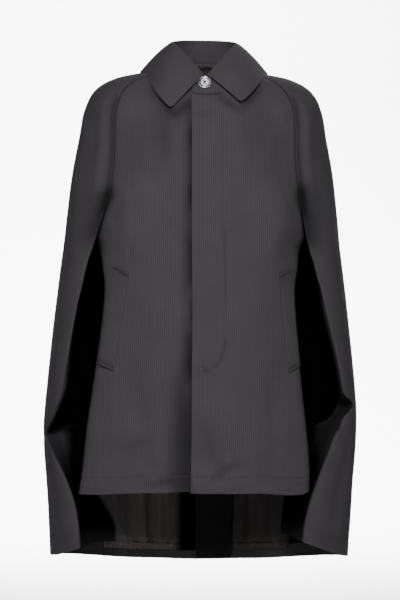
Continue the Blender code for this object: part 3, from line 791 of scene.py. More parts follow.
def shapeFront(spec):
    side = spec["side"]
    shares = closerAtEdges(frontCut["steps"], last=frontCut["closer"])
    upper = []
    for ring in shoulderRings:
        seam = ring.raglanFront - raglanAngle(ring.halfWidth)
        lap = spec["lap"] + (lapShift(ring.frontZ) if side > 0 else 0.0)
        angles = frontAngles(ring.halfWidth, lap, seam, shares)
        upper.append([ringPoint(ring, angle, side) for angle in angles])
    lower = []
    for level in frontLevels:
        halfWidth = level.leftWidth if side > 0 else level.rightWidth
        lap = spec["lap"] + (lapShift(level.z) if side > 0 else 0.0)
        angles = frontAngles(halfWidth, lap, level.edge, shares)
        line = []
        for angle in angles:
            tuck = level.tuck * softStep(0.66, 1.0, (angle - angles[0]) / (angles[-1] - angles[0]))
            turn = radians(angle)
            line.append(Vector((side * halfWidth * sin(turn), -level.depth * cos(turn) + tuck, level.z)))
        lower.append(line)
    angles = frontAngles(0.2, spec["lap"], 55.0, shares)
    ease = [softStep(0.0, 4.0, 11.0 * (angles[-1] - angle) / (angles[-1] - angles[0])) for angle in angles]
    joint = len(shoulderRings) - 1.0
    places = placesDown(joint, joint + len(frontLevels), frontCut["stepsUp"], frontCut["stepsDown"],
                        frontCut["topMarks"], frontCut["hemMarks"])
    rows = panelRows(upper, lower, places, ease)
    for row in rows:
        for point in row:
            drop = sum(by * softStep(start, end, abs(point.x)) for start, end, by in spec["hemDrops"])
            point.z -= drop * softStep(-0.60, -0.707, point.z)
    if side < 0:
        rows = [[sinkUnderlap(point) for point in row] for row in rows]
    centre = min(range(len(angles)), key=lambda column: abs(angles[column]))
    return drapeCloth(rows, side < 0, spec, centre), centre


frontRows = {}
for word, spec in (("right", frontRight), ("left", frontLeft)):
    rows, centre = shapeFront(spec)
    frontRows[spec["side"]] = rows
    made = sewPiece("front" + word.capitalize(), rows, spec["side"] < 0, spec, centre, wool, satin)
    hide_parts("front_" + word)
print("fronts cut")

# Cape below the slits
CapeLevel = namedtuple("CapeLevel", "z halfWidth backDepth backSeam")
capeLevels = [
    CapeLevel(-0.287, 0.2345, 0.112, 135.0),
    CapeLevel(-0.330, 0.2395, 0.114, 135.5),
    CapeLevel(-0.420, 0.2497, 0.120, 136.5),
    CapeLevel(-0.500, 0.2580, 0.126, 137.0),
    CapeLevel(-0.545, 0.2622, 0.130, 137.5),
    CapeLevel(-0.567, 0.2640, 0.132, 137.7),
    CapeLevel(-0.592, 0.2655, 0.134, 138.0),
    CapeLevel(-0.619, 0.2660, 0.136, 138.3),
    CapeLevel(-0.650, 0.2650, 0.139, 138.6),
    CapeLevel(-0.690, 0.2620, 0.142, 139.0),
    CapeLevel(-0.735, 0.2585, 0.146, 139.4),
    CapeLevel(-0.780, 0.2555, 0.149, 139.7),
    CapeLevel(-0.8202, 0.2536, 0.152, 140.0),
]
Flute = namedtuple("Flute", "angle height spread")
backFlutes = [
    Flute(110.0, -0.009, 9.0),
    Flute(127.0, 0.008, 8.0),
    Flute(149.0, -0.010, 9.0),
    Flute(166.0, 0.007, 7.0),
]
capeHem = dict(
    slitTopZ=-0.287, sideZ=-0.8202, dropBack=0.019, fluteTopZ=-0.36, topMarks=(0.0, 0.02, 0.05, 0.10),
    marks=(0.0, 0.012, 0.030, 0.055, 0.10, 0.58, 0.62, 0.645, 0.67, 0.695, 0.73),
)


def hemShare(z):
    return (z - capeHem["slitTopZ"]) / (capeHem["sideZ"] - capeHem["slitTopZ"])


def backPoint(level, angle, side):
    turn = radians(angle)
    grown = softStep(capeHem["fluteTopZ"], capeHem["sideZ"], level.z)
    out = grown * sum(flute.height * bell(angle - flute.angle, flute.spread) for flute in backFlutes)
    z = level.z - capeHem["dropBack"] * hemShare(level.z) ** 2 * cos(turn) ** 2
    return Vector((side * (level.halfWidth + out) * sin(turn), -(level.backDepth + out) * cos(turn), z))


# Cape sleeves: where the front folds, where it turns back to and how much of the return is there
Fold = namedtuple("Fold", "foldIn foldDepth returnIn returnY start")
wingRight = dict(
    side=-1.0, hemLift=0.020, wall=woolWall, slack=0.0015, seed=14.2,
    litTo=0.2320, facetTop=-0.599, facetShade=0.34, facing=(0.007, 0.031),
    slitEdge=((-0.530, 0.2280), (-0.560, 0.2385), (-0.5927, 0.2517), (-0.615, 0.2622)),
    edges=("turned", "seam", "seam", "turned"), hemLines=(hemTurn,),
    folds=[
        Fold(0.0525, 0.0850, 0.030, -0.045, 1.80),
        Fold(0.0445, 0.076, 0.030, -0.030, 1.80),
        Fold(0.0365, 0.069, 0.040, -0.010, 1.80),
        Fold(0.0320, 0.062, 0.055, 0.000, 1.80),
        Fold(0.0305, 0.057, 0.065, 0.010, 1.80),
        Fold(0.0270, 0.052, 0.070, 0.015, 1.75),
        Fold(0.0180, 0.040, 0.075, 0.020, 1.20),
        Fold(0.0060, 0.022, 0.080, 0.025, 0.00),
        Fold(0.0180, 0.037, 0.078, 0.030, 0.00),
        Fold(0.0370, 0.055, 0.075, 0.035, 0.00),
        Fold(0.0508, 0.068, 0.068, 0.040, 0.00),
        Fold(0.0562, 0.076, 0.064, 0.045, 0.00),
        Fold(0.0572, 0.080, 0.062, 0.045, 0.00),
    ],
    creases=[
        Crease(-0.020, -0.050, -0.060, -0.150, 0.008, 0.018, -0.0026),
        Crease(-0.030, -0.640, -0.055, -0.780, -0.008, 0.012, -0.0030),
        Crease(0.010, -0.600, 0.020, -0.760, 0.006, 0.016, -0.0028),
        Crease(0.045, -0.300, 0.050, -0.520, 0.008, 0.022, -0.0026),
        Crease(0.085, -0.420, 0.080, -0.700, -0.006, 0.018, 0.0026),
    ],
    dips=[
        Dip("first", 0.011, 0.010, -0.0042, -0.03, -0.26),
        Dip("first", 0.030, 0.010, 0.0014, -0.06, -0.24),
    ],
    edgeShades=[
        Dip("first", 0.004, 0.010, 0.34, -0.03, -0.26),
        Dip("first", 0.0, 0.028, 0.70, -0.185, -0.315),
    ],
)
wingLeft = dict(
    side=1.0, hemLift=0.034, wall=woolWall, slack=0.0015, seed=21.7,
    litTo=0.2085, slitEdge=(), facetTop=-0.560, facetShade=0.74, facing=(),
    edges=("turned", "seam", "seam", "turned"), hemLines=(hemTurn,),
    folds=[
        Fold(0.0630, 0.0880, 0.030, -0.045, 1.80),
        Fold(0.0555, 0.080, 0.030, -0.030, 1.80),
        Fold(0.0425, 0.071, 0.040, -0.010, 1.80),
        Fold(0.0305, 0.061, 0.050, 0.000, 1.80),
        Fold(0.0260, 0.050, 0.060, 0.010, 1.75),
        Fold(0.0080, 0.024, 0.070, 0.015, 0.95),
        Fold(0.0320, 0.044, 0.054, 0.020, 0.95),
        Fold(0.0460, 0.055, 0.045, 0.025, 0.00),
        Fold(0.0580, 0.057, 0.041, 0.030, 0.00),
        Fold(0.0700, 0.057, 0.035, 0.035, 0.00),
        Fold(0.0820, 0.063, 0.029, 0.040, 0.00),
        Fold(0.0910, 0.078, 0.022, 0.045, 0.00),
        Fold(0.0935, 0.084, 0.0195, 0.045, 0.00),
    ],
    creases=[
        Crease(-0.020, -0.055, -0.058, -0.150, -0.008, 0.018, -0.0020),
        Crease(-0.045, -0.610, -0.070, -0.770, -0.008, 0.013, -0.0030),
        Crease(0.005, -0.580, 0.012, -0.740, 0.006, 0.016, -0.0028),
        Crease(0.050, -0.320, 0.048, -0.560, 0.008, 0.020, -0.0026),
        Crease(0.088, -0.400, 0.082, -0.680, -0.006, 0.018, 0.0024),
    ],
    dips=[
        Dip("first", 0.011, 0.010, -0.0036, -0.03, -0.26),
        Dip("first", 0.030, 0.010, 0.0014, -0.06, -0.24),
    ],
    edgeShades=[
        Dip("first", 0.004, 0.010, 0.30, -0.03, -0.26),
        Dip("first", 0.0, 0.029, 0.76, -0.175, -0.315),
    ],
)
wingGrid = dict(
    foldSteps=48, sideSteps=28, stepsUp=44, stepsDown=104, closer=(0.0, 0.004, 0.009, 0.018, 0.032),
)


def capePlaces():
    joint = len(shoulderRings) - 1.0
    return placesDown(joint, joint + len(capeLevels), wingGrid["stepsUp"], wingGrid["stepsDown"],
                      capeHem["topMarks"], capeHem["marks"])


def foldPoints(level, fold, side, lift):
    # return edge, turn, fold, quarter, side, and one past the side
    raised = level.z + lift * hemShare(level.z) ** 3
    foldX = level.halfWidth - fold.foldIn
    backRun = fold.returnY + fold.foldDepth
    quarterX = level.halfWidth - 0.293 * fold.foldIn
    return [
        Vector((side * (foldX - fold.returnIn), fold.returnY, raised)),
        Vector((side * (foldX - 0.30 * fold.returnIn), -fold.foldDepth + 0.80 * backRun, raised)),
        Vector((side * foldX, -fold.foldDepth, raised)),
        Vector((side * quarterX, -0.707 * fold.foldDepth, level.z + 0.28 * (raised - level.z))),
        Vector((side * level.halfWidth, 0.0, level.z)),
        backPoint(level, 112.0, side),
    ]


def shapeWing(spec):
    side = spec["side"]
    foldShares = closerAtEdges(wingGrid["foldSteps"], first=wingGrid["closer"])
    sideShares = closerAtEdges(wingGrid["sideSteps"], last=wingGrid["closer"])
    upper = []
    for ring in shoulderRings:
        gap = raglanAngle(ring.halfWidth)
        start, end = ring.raglanFront + gap, ring.raglanBack - gap
        ahead = [ringPoint(ring, start + (90.0 - start) * share, side) for share in foldShares]
        behind = [ringPoint(ring, 90.0 + (end - 90.0) * share, side) for share in sideShares]
        upper.append(ahead + behind[1:])
    lower = []
    for level, fold in zip(capeLevels, spec["folds"]):
        end = level.backSeam - raglanAngle(level.halfWidth)
        named = foldPoints(level, fold, side, spec["hemLift"])
        ahead = [curveAt(named, fold.start + (4.0 - fold.start) * share) for share in foldShares]
        behind = [backPoint(level, 90.0 + (end - 90.0) * share, side) for share in sideShares]
        lower.append(ahead + behind[1:])
    ease = [softStep(0.0, 4.0, 9.0 * share) for share in foldShares] + [1.0] * (len(sideShares) - 1)
    rows = panelRows(upper, lower, capePlaces(), ease)
    sideColumn = len(foldShares) - 1
    return drapeCloth(rows, side < 0, spec, sideColumn), sideColumn


slitNotch = dict(slope=0.6, fromX=0.2335, within=(-0.008, 0.005), above=0.022, below=0.003)
returnShade = dict(
    fade=0.018, deepZ=(-0.70, -0.60), hemWithin=0.035, facingZ=(-0.785, -0.70), facingEnd=(-0.66, -0.63),
)


def returnPaintedShadow(rows, sideColumn, spec):
    # painted shadow: the return behind the fold is painted near black, but for the facet at the fold and a
    # facing strip at its edge
    across = runsAcross(rows, sideColumn)
    down = runsDown(rows)
    folds = [min(range(sideColumn), key=lambda column: row[column].y) for row in rows]

    def slitShare(x, z):
        # painted shadow: how far a point lies in the dark notch where the slit ends
        for (highZ, highX), (lowZ, lowX) in zip(spec["slitEdge"], spec["slitEdge"][1:]):
            if lowZ < z <= highZ:
                edge = highX + (lowX - highX) * (z - highZ) / (lowZ - highZ)
                top = spec["facetTop"] - slitNotch["slope"] * max(0.0, abs(x) - slitNotch["fromX"])
                inside = softStep(*slitNotch["within"], edge - abs(x))
                return inside * softStep(top - slitNotch["above"], top + slitNotch["below"], z)
        return 0.0

    def returnShadowShare(number, column):
        point = rows[number][column]
        notch = slitShare(point.x, point.z) if column < sideColumn else 0.0
        if column >= folds[number]:
            return notch
        fromEdge = across[number][column] - across[number][0]
        toHem = down[-1][column] - down[number][column]
        share = softStep(-returnShade["fade"], returnShade["fade"], spec["litTo"] - abs(point.x))
        deep = spec["facetShade"]
        sunk = 1.0 - softStep(*returnShade["deepZ"], point.z)  # darker the lower it lies
        share = max(share, deep + (1.0 - deep) * sunk)
        share *= 0.85 + 0.15 * softStep(0.0, returnShade["hemWithin"], toHem)
        if spec["facing"]:
            low, more = spec["facing"]
            facing = low + more * softStep(*returnShade["facingZ"], point.z)
            facing *= 1.0 - softStep(*returnShade["facingEnd"], point.z)
            share *= softStep(facing - 0.004, facing + 0.003, fromEdge)
        return max(notch, share)

    return returnShadowShare


wingRows = {}
for word, spec in (("right", wingRight), ("left", wingLeft)):
    rows, sideColumn = shapeWing(spec)
    wingRows[spec["side"]] = (rows, sideColumn)
    # painted shadow on the sleeve's return and in the slit's notch
    paintedDarkAt = returnPaintedShadow(rows, sideColumn, spec)
    name = "wing" + word.capitalize()
    made = sewPiece(name, rows, spec["side"] < 0, spec, sideColumn, sleeveWoolPaintedDark, facingCloth, paintedDarkAt)
    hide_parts("wing_" + word)
print("cape sleeves cut")

backCut = dict(
    wall=woolWall, slack=0.0015, edges=("seam", "seam", "seam", "turned"), hemLines=(hemTurn,), steps=44,
    seeds={-1.0: 31.3, 1.0: 37.9}, ventTop=-0.560,
    creases={
        -1.0: [
            Crease(-0.060, -0.330, -0.075, -0.600, 0.010, 0.020, -0.0028),
            Crease(-0.110, -0.250, -0.105, -0.480, -0.008, 0.018, -0.0022),
            Crease(-0.030, -0.560, -0.040, -0.800, 0.006, 0.016, -0.0026),
            Crease(-0.020, -0.060, -0.090, -0.110, 0.006, 0.014, -0.0016),
        ],
        1.0: [
            Crease(-0.050, -0.380, -0.068, -0.660, -0.010, 0.019, -0.0026),
            Crease(-0.120, -0.270, -0.112, -0.520, 0.008, 0.018, -0.0024),
            Crease(-0.090, -0.600, -0.100, -0.800, 0.006, 0.015, 0.0022),
            Crease(-0.025, -0.065, -0.085, -0.105, -0.006, 0.014, -0.0016),
        ],
    },
)


def shapeBack(side):
    shares = closerAtEdges(backCut["steps"], wingGrid["closer"], wingGrid["closer"])
    upper = []
    for ring in shoulderRings:
        start = ring.raglanBack + raglanAngle(ring.halfWidth)
        end = 180.0 - gapAngle(max(ring.backDepth, ring.halfWidth))
        upper.append([ringPoint(ring, start + (end - start) * share, side) for share in shares])
    lower = []
    for level in capeLevels:
        start = level.backSeam + raglanAngle(level.halfWidth)
        end = 180.0 - gapAngle(level.halfWidth)
        lower.append([backPoint(level, start + (end - start) * share, side) for share in shares])
    rows = panelRows(upper, lower, capePlaces(), [1.0] * len(shares))
    spec = dict(backCut, seed=backCut["seeds"][side], creases=backCut["creases"][side])
    return drapeCloth(rows, side < 0, spec, len(shares) - 1), len(shares) - 1


backRows = {}
for word, side in (("right", -1.0), ("left", 1.0)):
    rows, centre = shapeBack(side)
    backRows[side] = rows
    made = sewPiece("back" + word.capitalize(), rows, side < 0, backCut, centre, wool, facingCloth)
    made.data.materials.append(wool)
    made.data.materials.append(shadowBlack)
    for face in made.data.polygons:  # painted shade: near-black inside above the vent, as the lining is
        face.material_index = 2 if face.center.z > backCut["ventTop"] else 0
    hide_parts("back_" + word)
print("backs cut")

# Linings, facing and vent underlap lie inside the cloth
liningCut = dict(
    wall=0.0008, layerGap=0.0026, hemGap=0.0135, topZ=-0.10, leftColumns=0.625, pleatZ=(-0.35, -0.72),
    gatherPitch=0.0088, gatherUp=(0.012, 0.034), darkZ=(-0.69, -0.62), wingTopZ=-0.12, wingHemGap=0.020,
    wingColumns=10,
    pleats={  # run from the centre back, depth into the coat, width
        -1.0: [(0.036, 0.010, 0.009), (0.064, 0.008, 0.010), (0.099, 0.012, 0.012), (0.133, 0.009, 0.010)],
        1.0: [(0.066, 0.008, 0.010), (0.098, 0.010, 0.010), (0.130, 0.007, 0.011)],
    },
    ventShadeReach=0.026,
)


def rowsWithin(rows, firstZ, hemGap, firstColumn, lastColumn):
    down = runsDown(rows)
    middle = (firstColumn + lastColumn) // 2
    made = []
    for number, row in enumerate(rows):
        if row[middle].z <= firstZ and down[-1][middle] - down[number][middle] >= hemGap:
            made.append(row[firstColumn : lastColumn + 1])
    return made


def shapeBackLining(side):
    rows = movedOut(backRows[side], side < 0, -liningCut["layerGap"])
    lastColumn = len(rows[0]) - 1
    if side > 0:  # stops at the vent underlap
        lastColumn = int(lastColumn * liningCut["leftColumns"])
    part = rowsWithin(rows, liningCut["topZ"], liningCut["hemGap"], 0, lastColumn)
    normals = gridNormals(part, side < 0)
    down = runsDown(part)
    made = []
    for number, row in enumerate(part):
        line = []
        for column, point in enumerate(row):
            u = abs(point.x)
            toHem = down[-1][column] - down[number][column]
            grown = softStep(*liningCut["pleatZ"], point.z)
            inward = 0.0
            for place, depth, width in liningCut["pleats"][side]:
                inward += depth * grown * bell(u - place, width)
            inward *= softStep(0.0, 0.024 + 0.012 * noise.noise(Vector((u * 40.0, 3.3, side))), toHem)
            level = toHem + 0.012 * noise.noise(Vector((u * 17.0, 1.7, side)))
            # a loose fold above the hem
            fold = softStep(0.002, 0.030, level) * (1.0 - softStep(0.030, 0.085, level))
            inward += 0.0022 * fold
            uneven = noise.noise(Vector((u * 60.0, toHem * 40.0, side)))
            pucker = sin(2.0 * pi * u / liningCut["gatherPitch"] + 2.5 * uneven)
            gathered = 1.0 - softStep(*liningCut["gatherUp"], level)
            inward += (0.0022 + 0.0020 * pucker) * gathered * softStep(0.0, 0.005, toHem)
            line.append(point - normals[number][column] * inward)
        made.append(line)
    return made


def darkUpLining(rows, side):
    # painted shade: the lining is painted dark above the front hem and behind the vent's facing, and its left
    # half is painted half dark all over
    def share(number, column):
        point = rows[number][column]
        dark = max(softStep(*liningCut["darkZ"], point.z), 0.0 if side < 0 else 0.5)
        if side < 0:
            edge = liningCut["ventShadeReach"]
            dark = max(dark, 1.0 - softStep(edge - 0.004, edge + 0.020, -point.x))
        return dark

    return share


for word, side in (("right", -1.0), ("left", 1.0)):
    rows = shapeBackLining(side)
    paintedDarkAt = darkUpLining(rows, side)
    made = sewPiece("backLining" + word.capitalize(), rows, side < 0, liningCut, 0, satin, paintedDarkAt=paintedDarkAt)
    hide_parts("back_lining_" + word)
    rows, sideColumn = wingRows[side]
    inner = movedOut(rows, side < 0, -liningCut["layerGap"])
    first = sideColumn - liningCut["wingColumns"]
    part = rowsWithin(inner, liningCut["wingTopZ"], liningCut["wingHemGap"], first, len(rows[0]) - 1)
    # painted shade: the sleeve linings are near-black satin
    made = sewPiece("wingLining" + word.capitalize(), part, side < 0, liningCut, 0, shadowBlack)
    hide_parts("wing_lining_" + word)

ventCut = dict(wall=woolWall, layerGap=0.0028, topZ=-0.560, columns=0.64)


def shapeVent():
    rows = movedOut(backRows[1.0], False, -ventCut["layerGap"])
    first = int((len(rows[0]) - 1) * ventCut["columns"])
    return rowsWithin(rows, ventCut["topZ"], 0.0, first, len(rows[0]) - 2)


ventUnderlap = sewPiece("ventUnderlap", shapeVent(), False, ventCut, 0, wool, shadedVentCloth)
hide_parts("vent_underlap")

facingCut = dict(wall=0.0009, layerGap=0.0026, rows=32, firstColumn=12, turnUp=(0.0058, 0.0036, 0.0014))


def shapeFacing():
    right = movedOut(backRows[-1.0], True, -facingCut["layerGap"])
    left = movedOut(backRows[1.0], False, -facingCut["layerGap"])
    first = facingCut["firstColumn"]
    rows = [near[first:-1] + far[first:-1][::-1] for near, far in zip(right[1 : facingCut["rows"]], left[1:])]
    neckline = [ringPoint(shoulderRings[0], 180.0, 1.0).z - point.z for point in rows[0]]
    turned = []
    for rise in facingCut["turnUp"]:  # sewn up onto the collar stand
        line = []
        for point, low in zip(rows[0], neckline):
            z = point.z + 0.6 * max(0.0, 0.004 - low) + rise
            line.append(Vector((point.x * 0.972, point.y * 0.945, z)))
        turned.append(line)
    return turned + rows


neckFacing = sewPiece("neckFacing", shapeFacing(), True, facingCut, 0, neckCloth)
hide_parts("neck_facing")
print("linings, facing and vent cut")

weltRight = dict(side=-1.0, topX=(0.126, 0.152), bottomX=(0.150, 0.1755))
weltLeft = dict(side=1.0, topX=(0.1245, 0.1455), bottomX=(0.1440, 0.1645))
weltCut = dict(
    wall=0.0014, lift=0.0012, topZ=(-0.337, -0.327), bottomZ=(-0.511, -0.501), slack=0.0003, seed=44.0,
    edges=("turned", "turned", "seam", "seam"),
    shades=[
        Crease(-0.006, -0.3401, 0.036, -0.3226, 0.0, 0.0020, 0.86),
        Crease(-0.006, -0.3494, 0.036, -0.3319, 0.0, 0.0017, 0.58),
        Crease(-0.006, -0.5036, 0.036, -0.4845, 0.0, 0.0017, 0.46),
        Crease(-0.006, -0.5129, 0.036, -0.4938, 0.0, 0.0020, 0.84),
    ],
    closer=(0.0, 0.004, 0.008, 0.014, 0.024, 0.036, 0.046, 0.051, 0.055, 0.059, 0.068),
    closerAcross=(0.0, 0.02, 0.045, 0.09), stepsDown=50, stepsAcross=12,
)


def mix(pair, share):
    return pair[0] + (pair[1] - pair[0]) * share


def shapeWelt(spec):
    side = spec["side"]
    rows = frontRows[side]
    normals = gridNormals(rows, side < 0)
    downs = closerAtEdges(weltCut["stepsDown"], weltCut["closer"], weltCut["closer"])
    acrosses = closerAtEdges(weltCut["stepsAcross"], weltCut["closerAcross"], weltCut["closerAcross"])
    made = []
    for down in downs:
        line = []
        for across in acrosses:
            out = mix((mix(spec["topX"], across), mix(spec["bottomX"], across)), down)
            level = mix((mix(weltCut["topZ"], across), mix(weltCut["bottomZ"], across)), down)
            point, outward = onPanel(rows, normals, side, out, level)
            line.append(point + outward * weltCut["lift"])
        made.append(line)
    return drapeCloth(made, side < 0, weltCut, 0)


weltRows = {}
for word, spec in (("right", weltRight), ("left", weltLeft)):
    weltRows[spec["side"]] = shapeWelt(spec)
    made = sewPiece("welt" + word.capitalize(), weltRows[spec["side"]], spec["side"] < 0, weltCut, 0)
    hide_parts("welt_" + word)
print("welts laid on")

collarCut = dict(
    wall=0.0024, lead=2.4, lift=0.0006, backTuck=0.0022, slack=0.0005, seed=52.0, weaveTurned=True,
    rollHalfWidth=0.0545, rollFrontDepth=0.0645, rollBackDepth=0.054, rollFrontZ=-0.0105, rollSideZ=0.0520,
    rollBackZ=0.0606, tips={-1.0: (0.0555, -0.0885, -0.0672), 1.0: (0.0562, -0.0885, -0.0558)},
    tipRise={-1.0: 1.28, 1.0: 1.18}, tipKeep=2.6, tipRound=0.0065,
    fallHalfWidth=0.1095, fallBackDepth=0.092, fallSideZ=-0.0002, fallBackZ=0.003,
    edges=("seam", "turned", "turned", "turned"), stitchIn=0.0055, stepsRound=140,
    closerRound=(0.0, 0.001, 0.0025, 0.005),
)


def collarSection(angle, side):
    # seam, stand, roll, fall, leaf and edge at an angle round the neck
    spec = collarCut
    forward, outward = cos(radians(angle)), sin(radians(angle))
    lift = spec["lift"] - spec["backTuck"] * max(0.0, -forward) ** 8
    seam = ringPoint(shoulderRings[0], angle, side) + Vector((0.0, 0.0, lift))
    tipX, tipY, tipZ = spec["tips"][side]
    if forward >= 0:
        rollY = -spec["rollFrontDepth"] * forward
        rollZ = spec["rollFrontZ"] + (spec["rollSideZ"] - spec["rollFrontZ"]) * outward
        edgeX = tipX + (spec["fallHalfWidth"] - tipX) * outward
        edgeY = tipY * (1.0 - outward ** spec["tipKeep"])
        edgeZ = tipZ + (spec["fallSideZ"] - tipZ) * outward ** spec["tipRise"][side]
    else:
        rollY = -spec["rollBackDepth"] * forward
        rollZ = spec["rollSideZ"] + (spec["rollBackZ"] - spec["rollSideZ"]) * (1.0 - (1.0 + forward) ** 1.15)
        edgeX = spec["fallHalfWidth"] * outward
        edgeY = -spec["fallBackDepth"] * forward
        edgeZ = spec["fallSideZ"] + (spec["fallBackZ"] - spec["fallSideZ"]) * forward**2
    roll = Vector((side * spec["rollHalfWidth"] * outward, rollY, rollZ))
    edge = Vector((side * edgeX, edgeY, edgeZ))
    out = Vector((side * outward, -forward, 0.0))
    stand = seam.lerp(roll, 0.72) - out * 0.0005
    fall = roll.lerp(edge, 0.22) + out * 0.0035 + Vector((0.0, 0.0, 0.0015))
    leaf = roll.lerp(edge, 0.62) + out * 0.0025 + Vector((0.0, 0.0, 0.0015))
    return [seam, stand, roll, fall, leaf, edge]


def shapeCollar():
    nearEdge = closerAtEdges(14, last=(0.0, 0.02, 0.05, 0.1))[1:]
    places = spread(0.0, 4.5, 36) + [4.5 + 0.5 * share for share in nearEdge]
    shares = closerAtEdges(collarCut["stepsRound"], collarCut["closerRound"], collarCut["closerRound"])
    made = []
    for share in shares:
        turn = -180.0 + collarCut["lead"] + (360.0 - 2.0 * collarCut["lead"]) * share
        named = collarSection(180.0 - abs(turn), -1.0 if turn < 0 else 1.0)
        made.append([curveAt(named, place) for place in places])
    return made


def roundTips(rows, radius):
    # the two square corners of the collar leaf are turned round
    across = runsAcross(rows, 0)
    down = runsDown(rows)
    made = [list(row) for row in rows]
    for number, row in enumerate(rows):
        fromTop = number < len(rows) // 2
        for column, point in enumerate(row):
            toEnd = down[number][column] if fromTop else down[-1][column] - down[number][column]
            toEdge = across[number][-1] - across[number][column]
            if toEnd < radius and toEdge < radius:
                inEnd = (rows[number + 8 if fromTop else number - 8][column] - point).normalized()
                inEdge = (row[column - 8] - point).normalized()
                endShare, edgeShare = 1.0 - toEnd / radius, 1.0 - toEdge / radius
                byEnd = endShare * (1.0 - (1.0 - edgeShare**2 / 2.0) ** 0.5)
                byEdge = edgeShare * (1.0 - (1.0 - endShare**2 / 2.0) ** 0.5)
                made[number][column] = point + (inEnd * byEnd + inEdge * byEdge) * radius
    return made


collarRows = drapeCloth(roundTips(shapeCollar(), collarCut["tipRound"]), False, collarCut, 0)
collar = sewPiece("turnedCollar", collarRows, False, collarCut, 0, collarWool)
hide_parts("collar")
print("collar turned")

neckButton = dict(
    radius=0.0115, height=0.0040, holeRadius=0.0011, holeSpread=0.0024, ringRow=0.48, aside=-0.0015,
    stand=0.0009, sides=72,
    profile=[(0.0, 0.0), (0.80, 0.0), (0.93, 0.10), (0.985, 0.30), (1.0, 0.55), (0.975, 0.78), (0.92, 0.95),
             (0.85, 1.0), (0.77, 0.95), (0.70, 0.80), (0.64, 0.66), (0.56, 0.60), (0.30, 0.585), (0.0, 0.58)],
)


def buttonPlace(spec):
    above = [Vector((ring.frontDepth, ring.frontZ)) for ring in shoulderRings[:3]]
    here, below = curveAt(above, spec["ringRow"]), curveAt(above, spec["ringRow"] + 0.2)
    centre = Vector((spec["aside"], -here.x, here.y))
    normal = Vector((1.0, 0.0, 0.0)).cross(Vector((spec["aside"], -below.x, below.y)) - centre).normalized()
    normal = -normal if normal.y > 0 else normal
    turn = Vector((0.0, 0.0, 1.0)).rotation_difference(normal).to_matrix().to_4x4()
    return Matrix.Translation(centre + normal * spec["stand"]) @ turn


def turnButton(spec):
    bm = bmesh.new()
    line = [bm.verts.new((r * spec["radius"], 0.0, h * spec["height"])) for r, h in spec["profile"]]
    edges = [bm.edges.new(pair) for pair in zip(line, line[1:])]
    bmesh.ops.spin(bm, geom=line + edges, cent=(0, 0, 0), axis=(0, 0, 1), angle=2 * pi,
                   steps=spec["sides"], use_merge=True)
    bmesh.ops.remove_doubles(bm, verts=bm.verts, dist=0.00001)
    bmesh.ops.recalc_face_normals(bm, faces=bm.faces)
    made = linkMesh("neckButton", bm)
    bm = bmesh.new()
    for x in (-1, 1):
        for y in (-1, 1):
            at = Matrix.Translation((x * spec["holeSpread"], y * spec["holeSpread"], 0.0))
            bmesh.ops.create_cone(bm, cap_ends=True, segments=20, radius1=spec["holeRadius"],
                                  radius2=spec["holeRadius"], depth=spec["height"] * 4.0, matrix=at)
    cutter = linkMesh("buttonDrill", bm)
    holes = made.modifiers.new("holes", "BOOLEAN")
    holes.operation = "DIFFERENCE"
    holes.solver = "EXACT"
    holes.object = cutter
    drilled = bpy.data.meshes.new_from_object(made.evaluated_get(bpy.context.evaluated_depsgraph_get()))
    made.modifiers.clear()
    made.data = drilled
    bpy.data.objects.remove(cutter, do_unlink=True)
    drilled.transform(buttonPlace(spec))
    drilled.materials.clear()
    drilled.materials.append(shell)
    drilled.polygons.foreach_set("use_smooth", [True] * len(drilled.polygons))
    drilled.set_sharp_from_angle(angle=radians(40.0))
    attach(made, "root")
    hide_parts("button")
    return made


shell = makeShell("smokeShell", smokeShell, buttonPlace(neckButton).translation)
turnButton(neckButton)


buttonSewing = dict(radius=0.00042, apart=0.00032, arch=0.0011, sink=0.0008, seat=0.585, overlap=1.15)


def threadButton(spec, sewn):
    # two crossed strands from hole to hole, sunk a little at their ends
    bm = bmesh.new()
    place = buttonPlace(spec)
    top = spec["height"] * sewn["seat"]
    reach = spec["holeSpread"]
    for towards in (1.0, -1.0):
        for shift in (-sewn["apart"], sewn["apart"]):
            knots = []
            for share in spread(-1.0, 1.0, 10):
                arch = sewn["arch"] * (1.0 - abs(share) ** 3) + (0.0002 if towards > 0 else 0.0006)
                along, sunk = reach * share, sewn["sink"] * abs(share) ** 6
                knots.append(Vector((along - shift * towards, along * towards + shift, top + arch - sunk)))
            for start, end in zip(knots, knots[1:]):
                turn = Vector((0.0, 0.0, 1.0)).rotation_difference(end - start).to_matrix().to_4x4()
                bmesh.ops.create_cone(bm, cap_ends=True, segments=8, radius1=sewn["radius"],
                                      radius2=sewn["radius"], depth=(end - start).length * sewn["overlap"],
                                      matrix=place @ Matrix.Translation((start + end) / 2) @ turn)
    made = linkMesh("buttonThread", bm)
    made.data.materials.append(thread)
    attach(made, "root")


threadButton(neckButton, buttonSewing)
print("button sewn on")

# Stitching
flyStitch = dict(x=0.0329, topZ=-0.040, turnZ=-0.450, endX=-0.014, endZ=-0.5085)


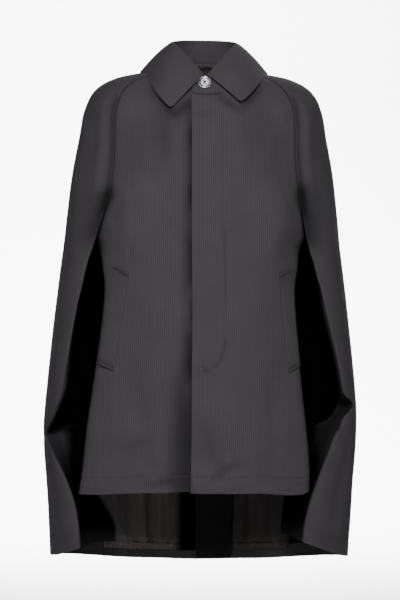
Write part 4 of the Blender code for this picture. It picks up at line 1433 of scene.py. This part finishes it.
def flyPath(spec):
    rows = frontRows[1.0]
    normals = gridNormals(rows, False)
    line = [(spec["x"] - lapShift(z), z) for z in spread(spec["topZ"], spec["turnZ"], 60)]
    for share in spread(0.0, 1.0, 24)[1:]:  # the curve to the edge, as on a fly
        turn = share * pi / 2
        x = spec["endX"] + (spec["x"] - spec["endX"]) * cos(turn)
        z = spec["turnZ"] + (spec["endZ"] - spec["turnZ"]) * sin(turn)
        line.append((x, z))
    return [onPanel(rows, normals, 1.0, x, z) for x, z in line]


for side, word in ((-1.0, "Right"), (1.0, "Left")):
    rows = frontRows[side]
    paths = [rowPath(rows, side < 0, hemRow(rows, hemTurn), 1, -1)]
    if side > 0:
        paths.append(flyPath(flyStitch))
    stitchAlong("frontStitches" + word, paths, sewing)
    rows, sideColumn = wingRows[side]
    number = hemRow(rows, hemTurn)
    fold = min(range(sideColumn), key=lambda column: rows[number][column].y)
    path = rowPath(rows, side < 0, number, fold, -1)
    stitchAlong("wingStitches" + word, [path], sewing)
    rows = backRows[side]
    path = rowPath(rows, side < 0, hemRow(rows, hemTurn), 1, -1)
    stitchAlong("backStitches" + word, [path], sewing)


def collarStitchPath():
    normals = gridNormals(collarRows, False)
    wanted = collarCut["stitchIn"]
    edge = []
    ends = {"first": [], "last": []}
    down = runsDown(collarRows)
    for number, row in enumerate(collarRows):
        left = 0.0
        column = len(row) - 1
        while left < wanted:
            step = (row[column] - row[column - 1]).length
            left += step
            column -= 1
        share = (left - wanted) / step
        fromEnds = min(down[number][column], down[-1][column] - down[number][column])
        if fromEnds > wanted:
            edge.append((row[column].lerp(row[column + 1], share), normals[number][column]))
    for column in range(24, len(collarRows[0]) - 8):
        number = 0
        while down[number][column] < wanted:
            number += 1
        ends["first"].append((collarRows[number][column], normals[number][column]))
        ends["last"].append((collarRows[-1 - number][column], normals[-1 - number][column]))
    return [edge, ends["first"], ends["last"]]


stitchAlong("collarStitches", collarStitchPath(), sewing)

for side, word in ((-1.0, "Right"), (1.0, "Left")):
    rows = weltRows[side]
    paths = []
    for number in (3, 6, -7, -4):
        paths.append(rowPath(rows, side < 0, number, 2, -2))
    stitchAlong("weltStitches" + word, paths, barTack)
print("stitched")

# The fields of how a cloth piece is cut, without its seam allowances
Cut = namedtuple("Cut", "piece width length area held restsOn sewn")
